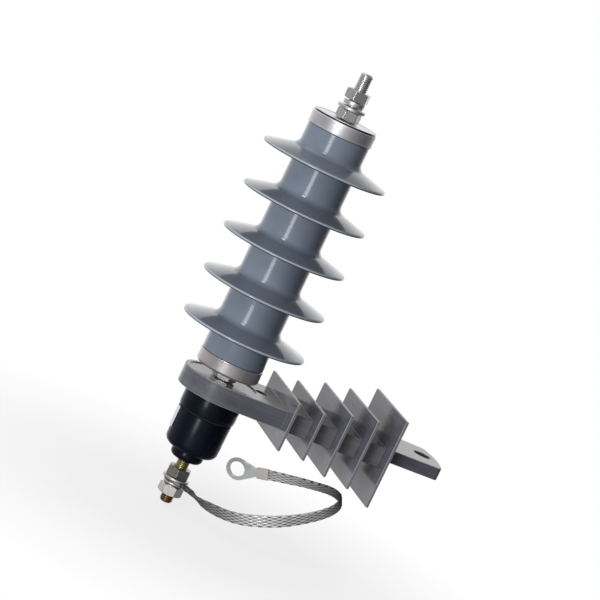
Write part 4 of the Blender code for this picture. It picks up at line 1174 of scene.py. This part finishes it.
def carve(shape, tool, operation):
    """The shape united with, cut by or cut down to the tool's shape."""
    carriers = [add_object("carrier", into_mesh("carrier", part)) for part in (shape, tool)]
    boolean = carriers[0].modifiers.new("carve", "BOOLEAN")
    boolean.operation = operation
    boolean.solver = "EXACT"
    boolean.object = carriers[1]
    bpy.context.view_layer.update()
    evaluated = carriers[0].evaluated_get(bpy.context.evaluated_depsgraph_get())
    result = bmesh.new()
    result.from_mesh(evaluated.to_mesh())
    evaluated.to_mesh_clear()
    for carrier in carriers:
        bpy.data.meshes.remove(carrier.data)
    return result


def soften(shape, width, angle=28.0, segments=2, chosen=lambda edge: True, material=-1):
    """Bevels the edges that turn by more than an angle; material is the slot that the new faces get."""
    bmesh.ops.remove_doubles(shape, verts=shape.verts, dist=MERGE_DISTANCE)
    bmesh.ops.dissolve_limit(
        shape, angle_limit=math.radians(0.5), verts=shape.verts, edges=shape.edges, delimit={"MATERIAL"}
    )
    sharp = []
    for edge in shape.edges:
        if len(edge.link_faces) == 2 and edge.calc_face_angle() >= math.radians(angle) and chosen(edge):
            sharp.append(edge)
    bevel(shape, sharp, width, segments, material=material)


def clean_inner_corners(shape):
    """Gives the faces that fill inner corners back to the first material, without the painted edge highlight.
    """
    for face in shape.faces:
        if face.material_index and sum(edge.calc_face_angle_signed(0.0) for edge in face.edges) < 0:
            face.material_index = 0


# %% Bracket
BOSS_RADIUS = 0.031
BOSS_HEIGHT = 0.015
BOSS_DISH_RADIUS = 0.0273
BOSS_DISH_DEPTH = 0.0007
ARM_RISE = 0.0025
ARM_LEVEL_LENGTH = 0.016
ARM_END_HALF_WIDTH = 0.029
ARM_END_THICKNESS = 0.0165
ARM_HOLE_PLACE = 0.0326
ARM_HOLE_RADIUS = 0.0048
FIN_PLACE = 0.0496
FIN_PITCH = 0.021
FIN_WIDTH = 0.087
FIN_THICKNESS = 0.0024
FIN_RISES = (0.0120, 0.0120, 0.0186, 0.0219, 0.0300)
FIN_DROPS = (0.02752, 0.02752, 0.03311, 0.03526, 0.04300)
TONGUE_START = 0.1348
TONGUE_END = 0.1868
TONGUE_THICKNESS = 0.010
TONGUE_END_HALF_WIDTH = 0.0255
BULGE = 0.003
TONGUE_CORNER = 0.004
BOLT_HOLE_PLACE = 0.1733
BOLT_HOLE_RADIUS = 0.007
BOSS_HOLE_RADIUS = 0.0056
REACH = 0.1
EDGE_BREAK = 0.0005
BORE_EDGE_BREAK = 0.0003
# The bores: place along the arm, radius, lowest point, steps of the circle
BRACKET_BORES = (
    (0.0, BOSS_HOLE_RADIUS, -REACH, 72),
    (0.0, BOSS_DISH_RADIUS, -BOSS_DISH_DEPTH, 96),
    (ARM_HOLE_PLACE, ARM_HOLE_RADIUS, -REACH, 48),
    (BOLT_HOLE_PLACE, BOLT_HOLE_RADIUS, -REACH, 72),
)


def is_bore_edge(edge):
    """Whether both ends of an edge lie on the wall of one bore."""
    for place, radius, _, _ in BRACKET_BORES:
        offsets = [abs(math.hypot(vert.co.x - place, vert.co.y) - radius) for vert in edge.verts]
        if max(offsets) < radius * 0.004:
            return True
    return False


def arc_points(centre, radius, start, end, steps):
    points = []
    for index in range(steps + 1):
        angle = math.radians(start + (end - start) * index / steps)
        points.append((centre[0] + radius * math.cos(angle), centre[1] + radius * math.sin(angle)))
    return points


def bracket_outline():
    """The bracket from above: half a circle round the boss, straight sides, and the tongue's bowed end."""
    side = arc_points((0, 0), BOSS_RADIUS, 180, 90, 36)
    side.append((TONGUE_START, ARM_END_HALF_WIDTH))
    corner_x = TONGUE_END - BULGE - TONGUE_CORNER
    corner_y = TONGUE_END_HALF_WIDTH - TONGUE_CORNER
    side += arc_points((corner_x, corner_y), TONGUE_CORNER, 85, 15, 6)
    for share in (0.75, 0.5, 0.25, 0.0):
        side.append((TONGUE_END - BULGE + BULGE * (1 - share**2), corner_y * share))
    return side + [(x, -y) for x, y in reversed(side[1:-1])]


def bracket_side_outline():
    """The bracket from its side, as (place along the arm, height)."""
    return [
        (-BOSS_RADIUS - REACH, 0),
        (-BOSS_RADIUS - REACH, -BOSS_HEIGHT),
        (ARM_LEVEL_LENGTH, -BOSS_HEIGHT),
        (TONGUE_START, ARM_RISE - ARM_END_THICKNESS),
        (TONGUE_START, ARM_RISE - TONGUE_THICKNESS),
        (TONGUE_END + REACH, ARM_RISE - TONGUE_THICKNESS),
        (TONGUE_END + REACH, ARM_RISE),
        (TONGUE_START, ARM_RISE),
        (ARM_LEVEL_LENGTH, 0),
    ]


def make_bracket_shape():
    shape = plate_shape(bracket_outline(), -REACH, REACH)
    side = plate_shape(bracket_side_outline(), -REACH, REACH)
    turn_shape(side, math.pi / 2, "X")
    shape = carve(shape, side, "INTERSECT")
    for index, (rise, drop) in enumerate(zip(FIN_RISES, FIN_DROPS)):
        middle = FIN_PLACE + FIN_PITCH * index
        low = (middle - FIN_THICKNESS / 2, -FIN_WIDTH / 2, -drop)
        high = (middle + FIN_THICKNESS / 2, FIN_WIDTH / 2, rise)
        shape = carve(shape, block_shape(low, high), "UNION")
    # The bevel's faces take the second slot, whose paler finish is a painted highlight
    soften(shape, EDGE_BREAK, material=1)
    for place, radius, foot, steps in BRACKET_BORES:
        shape = carve(shape, bore_shape(radius, foot, REACH, place, steps), "DIFFERENCE")
    soften(shape, BORE_EDGE_BREAK, chosen=is_bore_edge, material=1)
    clean_inner_corners(shape)
    highlighted = sum(face.calc_area() for face in shape.faces if face.material_index == 1)
    print("rubbed edges cover", round(highlighted * 1e6), "square millimetres")
    return shape


bracket_shape = make_bracket_shape()
bracket = finish_piece("moulded_bracket", "insulating_bracket", bracket_shape, MOULDING, 20.0)
# The second slot: the painted highlight of the bevelled edges
bracket.data.materials.append(MOULDING_EDGE_HIGHLIGHT)

# %% [markdown]
# The strap's far end is crimped in a ring lug: a flat eye, a neck that narrows and a pressed barrel. It is
# drawn lying flat at the origin and then turned to where the strap ends, in its mesh. The other end is
# pressed flat and clamped on the earth stud.

# %% Lugs
LUG_THICKNESS = 0.0016
LUG_EDGE_BREAK = 0.00022
FREE_LUG_RADIUS = 0.0093
FREE_LUG_HOLE = 0.0062
NECK_LENGTH = 0.0168
NECK_WIDTH = 0.0064
NECK_OVERLAP = 0.002
CRIMP_LENGTH = 0.0096
CRIMP_WIDTH = 0.0091
CRIMP_HEIGHT = 0.0036
CRIMP_ROUNDING = 0.0011
FIXED_LUG_RADIUS = 0.0088
FIXED_LUG_NECK_WIDTH = 0.0085
FIXED_LUG_EDGE_BREAK = 0.0002
LUG_GAP = 0.0003


def lug_shape(radius, neck_length, neck_width, low, high, overlap=0.0):
    """A flat eye and its neck, which narrows to its width and then runs straight for the overlap."""
    half_neck = neck_width / 2
    corner = math.hypot(neck_length, half_neck)
    opening = math.degrees(math.atan2(half_neck, neck_length) + math.acos(radius / corner))
    outline = arc_points((0, 0), radius, opening, 360 - opening, 48)
    outline.append((neck_length, -half_neck))
    if overlap:
        outline += [(neck_length + overlap, -half_neck), (neck_length + overlap, half_neck)]
    outline.append((neck_length, half_neck))
    return plate_shape(outline, low, high)


def is_long_edge(edge):
    return abs((edge.verts[0].co - edge.verts[1].co).x) > CRIMP_LENGTH / 2


def make_free_lug_shape():
    half = LUG_THICKNESS / 2
    palm = lug_shape(FREE_LUG_RADIUS, NECK_LENGTH, NECK_WIDTH, -half, half, NECK_OVERLAP)
    low = (NECK_LENGTH, -CRIMP_WIDTH / 2, -CRIMP_HEIGHT / 2)
    high = (NECK_LENGTH + CRIMP_LENGTH, CRIMP_WIDTH / 2, CRIMP_HEIGHT / 2)
    barrel = block_shape(low, high)
    soften(barrel, CRIMP_ROUNDING, segments=6, chosen=is_long_edge)
    shape = carve(palm, barrel, "UNION")
    shape = carve(shape, bore_shape(FREE_LUG_HOLE, -REACH, REACH), "DIFFERENCE")
    soften(shape, LUG_EDGE_BREAK, angle=40.0)
    return shape


end_point, end_along, end_across, _, _ = lead_rings[-1]
eye_place = end_point + end_along * (LUG_GAP + CRIMP_LENGTH + NECK_LENGTH)
lug_facing = placed_axes(-end_along, end_across, end_across.cross(end_along), eye_place)

# Bright tin with a browned crimp, told apart by the distance from the middle of the eye
BRIGHT_TIN = make_plate_finish("tinned_plate", (0.91, 0.93, 0.92), (0.70, 0.72, 0.71), 0.32, 200.0, 0.5)
from_eye = distance_from(BRIGHT_TIN, eye_place)
tint(BRIGHT_TIN, spread(from_eye, NECK_LENGTH - 0.0004, NECK_LENGTH + 0.0008, 0.0, 0.8), (0.80, 0.75, 0.70))
free_lug_shape = make_free_lug_shape()
free_lug = finish_piece(
    "ring_lug", "lead_free_lug", free_lug_shape, BRIGHT_TIN, 20.0, lug_facing
)

strap_start = Vector(LEAD_ROUTE[0])
fixed_neck = strap_start.xy.length - LUG_GAP
fixed_shape = lug_shape(FIXED_LUG_RADIUS, fixed_neck, FIXED_LUG_NECK_WIDTH, *span_of("lead_fixed_lug"))
fixed_shape = carve(fixed_shape, bore_shape(WASHER_BORE, -REACH * 2, REACH), "DIFFERENCE")
soften(fixed_shape, FIXED_LUG_EDGE_BREAK, angle=40.0)
turn_shape(fixed_shape, math.atan2(strap_start.y, strap_start.x))
finish_piece("pressed_strap_end", "lead_fixed_lug", fixed_shape, BROWN_TIN, 20.0)

# %% [markdown]
# The pieces inside the housing and the disconnector keep their solids. They get finishes of their own all
# the same, because a part may be cut open or seen through its bores.

# %% Finishes of the inner nodes
FIBREGLASS = make_grained_finish("fibreglass", (0.42, 0.40, 0.20), 0.5, scale=1200.0)
VARISTOR_CERAMIC = make_grained_finish("varistor_ceramic", (0.055, 0.055, 0.06), 0.6, scale=1800.0)
BARE_ALUMINIUM = make_grained_finish("bare_aluminium", (0.72, 0.72, 0.73), 0.38, 1.0, scale=700.0)
SPRING_STEEL = make_grained_finish("spring_steel", (0.33, 0.33, 0.35), 0.35, 1.0, scale=900.0)
RESISTOR_CERAMIC = make_grained_finish("resistor_ceramic", (0.66, 0.62, 0.54), 0.6, scale=1500.0)
for material, node_names in (
    (FIBREGLASS, ["fibreglass_tube"]),
    (VARISTOR_CERAMIC, [f"varistor_disc_{number}" for number in range(1, 6)]),
    (BARE_ALUMINIUM, ["lower_contact_plate", "upper_contact_plate", "aluminium_spacer"]),
    (SPRING_STEEL, ["lower_disc_spring", "upper_disc_spring"]),
    (ZINC_PLATE, ["coupling_stud"]),
    (YELLOW_PLATE, ["threaded_insert", "contact_plate", "trip_cartridge"]),
    (RESISTOR_CERAMIC, ["grading_resistor"]),
    (SEAL_RUBBER, ["disconnector_seal"]),
):
    for node_name in node_names:
        for material_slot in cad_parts[node_name].material_slots:
            material_slot.material = material
    print(material.name, "on", ", ".join(node_names))

# %% [markdown]

# %% [markdown]
# The studio is a pale floor, a white surround and a few soft lamps. The floor is a thin veil that fades out
# towards its rim, so that it ends nowhere in the picture.

# %% Floor
FLOOR_DROP = 0.0005
FLOOR_RADIUS = 0.30
FLOOR_FADE_START = 0.10
FLOOR_FADE_END = FLOOR_RADIUS * 0.98
FLOOR_PAPER_SHARE = 0.25

floor_place = Vector((CAMERA_TARGET.x, CAMERA_TARGET.y, SOLIDS_BOX[0][2] - FLOOR_DROP))
floor_shape = bmesh.new()
bmesh.ops.create_circle(floor_shape, cap_ends=True, segments=96, radius=FLOOR_RADIUS)
bmesh.ops.translate(floor_shape, vec=floor_place, verts=floor_shape.verts)
floor = add_object("studio_floor", into_mesh("studio_floor", floor_shape))

floor_paper = new_finish("pale_floor", (0.92, 0.92, 0.92), 0.9, 0.0, 0.0)
floor_tree = floor_paper.node_tree
reach = distance_from(floor_paper, floor_place)
share = spread(reach, FLOOR_FADE_START, FLOOR_FADE_END, FLOOR_PAPER_SHARE, 0.0)
clear = add_node(floor_tree, "ShaderNodeBsdfTransparent").outputs[0]
veil = add_node(floor_tree, "ShaderNodeMixShader", {0: share, 1: clear, 2: shader_of(floor_paper).outputs[0]})
feed(floor_tree.nodes["Material Output"].inputs["Surface"], veil.outputs[0])
floor.data.materials.append(floor_paper)

# %% [markdown]
# A light tent is open at the front, where the camera stands, and white all round behind the object. So the
# surround is bright behind and above and dimmer in front. That is why the sheds are darker in front, where
# the body keeps the light from behind off them, and why black plastic stays black. The camera itself sees
# plain white, and so do reflections that look straight behind the arrester.

# %% Surround
# Levels of the surround at the horizon, by the degrees to the right of the camera
HORIZON_LEVELS = (
    (-180, 1.00), (-150, 1.00), (-140, 0.90), (-128, 0.55), (-110, 0.45), (-85, 0.36), (-60, 0.22),
    (-38, 0.24), (-26, 0.55), (-15, 0.85), (-6, 0.65), (8, 0.38), (24, 0.27), (40, 0.15), (64, 0.05),
    (95, 0.03), (120, 0.10), (145, 0.45), (160, 0.95), (180, 1.00),
)
WHITE = (1.0, 1.0, 1.0)
TOP_GREY = (0.28, 0.28, 0.28)
FOOT_GREY = (0.10, 0.10, 0.10)
# How straight behind the arrester a direction is where reflections begin and cease to blend into white
BEHIND_START = 0.80
BEHIND_FULL = 0.92

world = bpy.data.worlds.new("surround")
bpy.context.scene.world = world
world.use_nodes = True
way = add_node(world.node_tree, "ShaderNodeTexCoord").outputs["Generated"]
dots = []
for axis in (LEVEL_RIGHT, LEVEL_TOWARD_CAMERA, (0, 0, 1)):
    dot = add_node(world.node_tree, "ShaderNodeVectorMath", {0: way, 1: axis}, operation="DOT_PRODUCT")
    dots.append(dot.outputs["Value"])
rightward, toward, upward = dots
turn = spread(maths("ARCTAN2", rightward, toward), -math.pi, math.pi)
levels = level_ramp(turn, [((degrees + 180) / 360, level) for degrees, level in HORIZON_LEVELS])
levels = blend_colours(spread(upward, 0.25, 0.85), levels, TOP_GREY)
levels = blend_colours(spread(upward, -0.25, -0.7), levels, FOOT_GREY)
rays = add_node(world.node_tree, "ShaderNodeLightPath").outputs
seen = maths("MAXIMUM", rays["Is Camera Ray"], rays["Is Transmission Ray"])
behind = spread(product(toward, -1.0), BEHIND_START, BEHIND_FULL)
plain = maths("MAXIMUM", seen, product(rays["Is Glossy Ray"], behind))
background = world.node_tree.nodes["Background"]
feed(background.inputs["Color"], blend_colours(plain, levels, WHITE))
feed(background.inputs["Strength"], 1.0)

# %% [markdown]
# The lamps are four soft boxes. A tall narrow one beside the camera draws the long highlights on the upright
# pieces, and one above the camera's left lights the sheds' tops. A wide low one at the left fills the
# sides of the sheds and the bracket, and is kept out of reflections. The box overhead is weak.


# %% Lamps
def direction_from(right_degrees, up_degrees):
    """A direction given as turned from the camera to its level right, and raised."""
    turn = math.radians(right_degrees)
    rise = math.radians(up_degrees)
    level = LEVEL_TOWARD_CAMERA * math.cos(turn) + LEVEL_RIGHT * math.sin(turn)
    return level * math.cos(rise) + Vector((0, 0, math.sin(rise)))


# Each box as name, direction, distance, width, height, whether reflections show it, and its level, which
# is its brightness where white paper is 1
for name, away, distance, width, height, in_reflections, level in (
    ("strip_box", direction_from(-15, 3), 2.2, 0.45, 1.10, True, 4.6),
    ("key_box", direction_from(-20, 34), 2.2, 0.40, 0.60, True, 9.0),
    ("wall_box", direction_from(-34, -3), 2.4, 1.30, 1.10, False, 9.0),
    ("top_box", PICTURE_UP, 2.0, 1.4, 1.4, True, 0.6),
):
    data = bpy.data.lights.new(name, "AREA")
    data.shape = "RECTANGLE"
    data.size = width
    data.size_y = height
    data.energy = level * math.pi * width * height
    lamp = add_object(name, data)
    side = Vector((0, 0, 1)).cross(away).normalized()
    lamp.matrix_world = placed_axes(side, away.cross(side), away, CAMERA_TARGET + away * distance)
    lamp.visible_camera = False
    lamp.visible_glossy = in_reflections
    print(name, "at level", level)
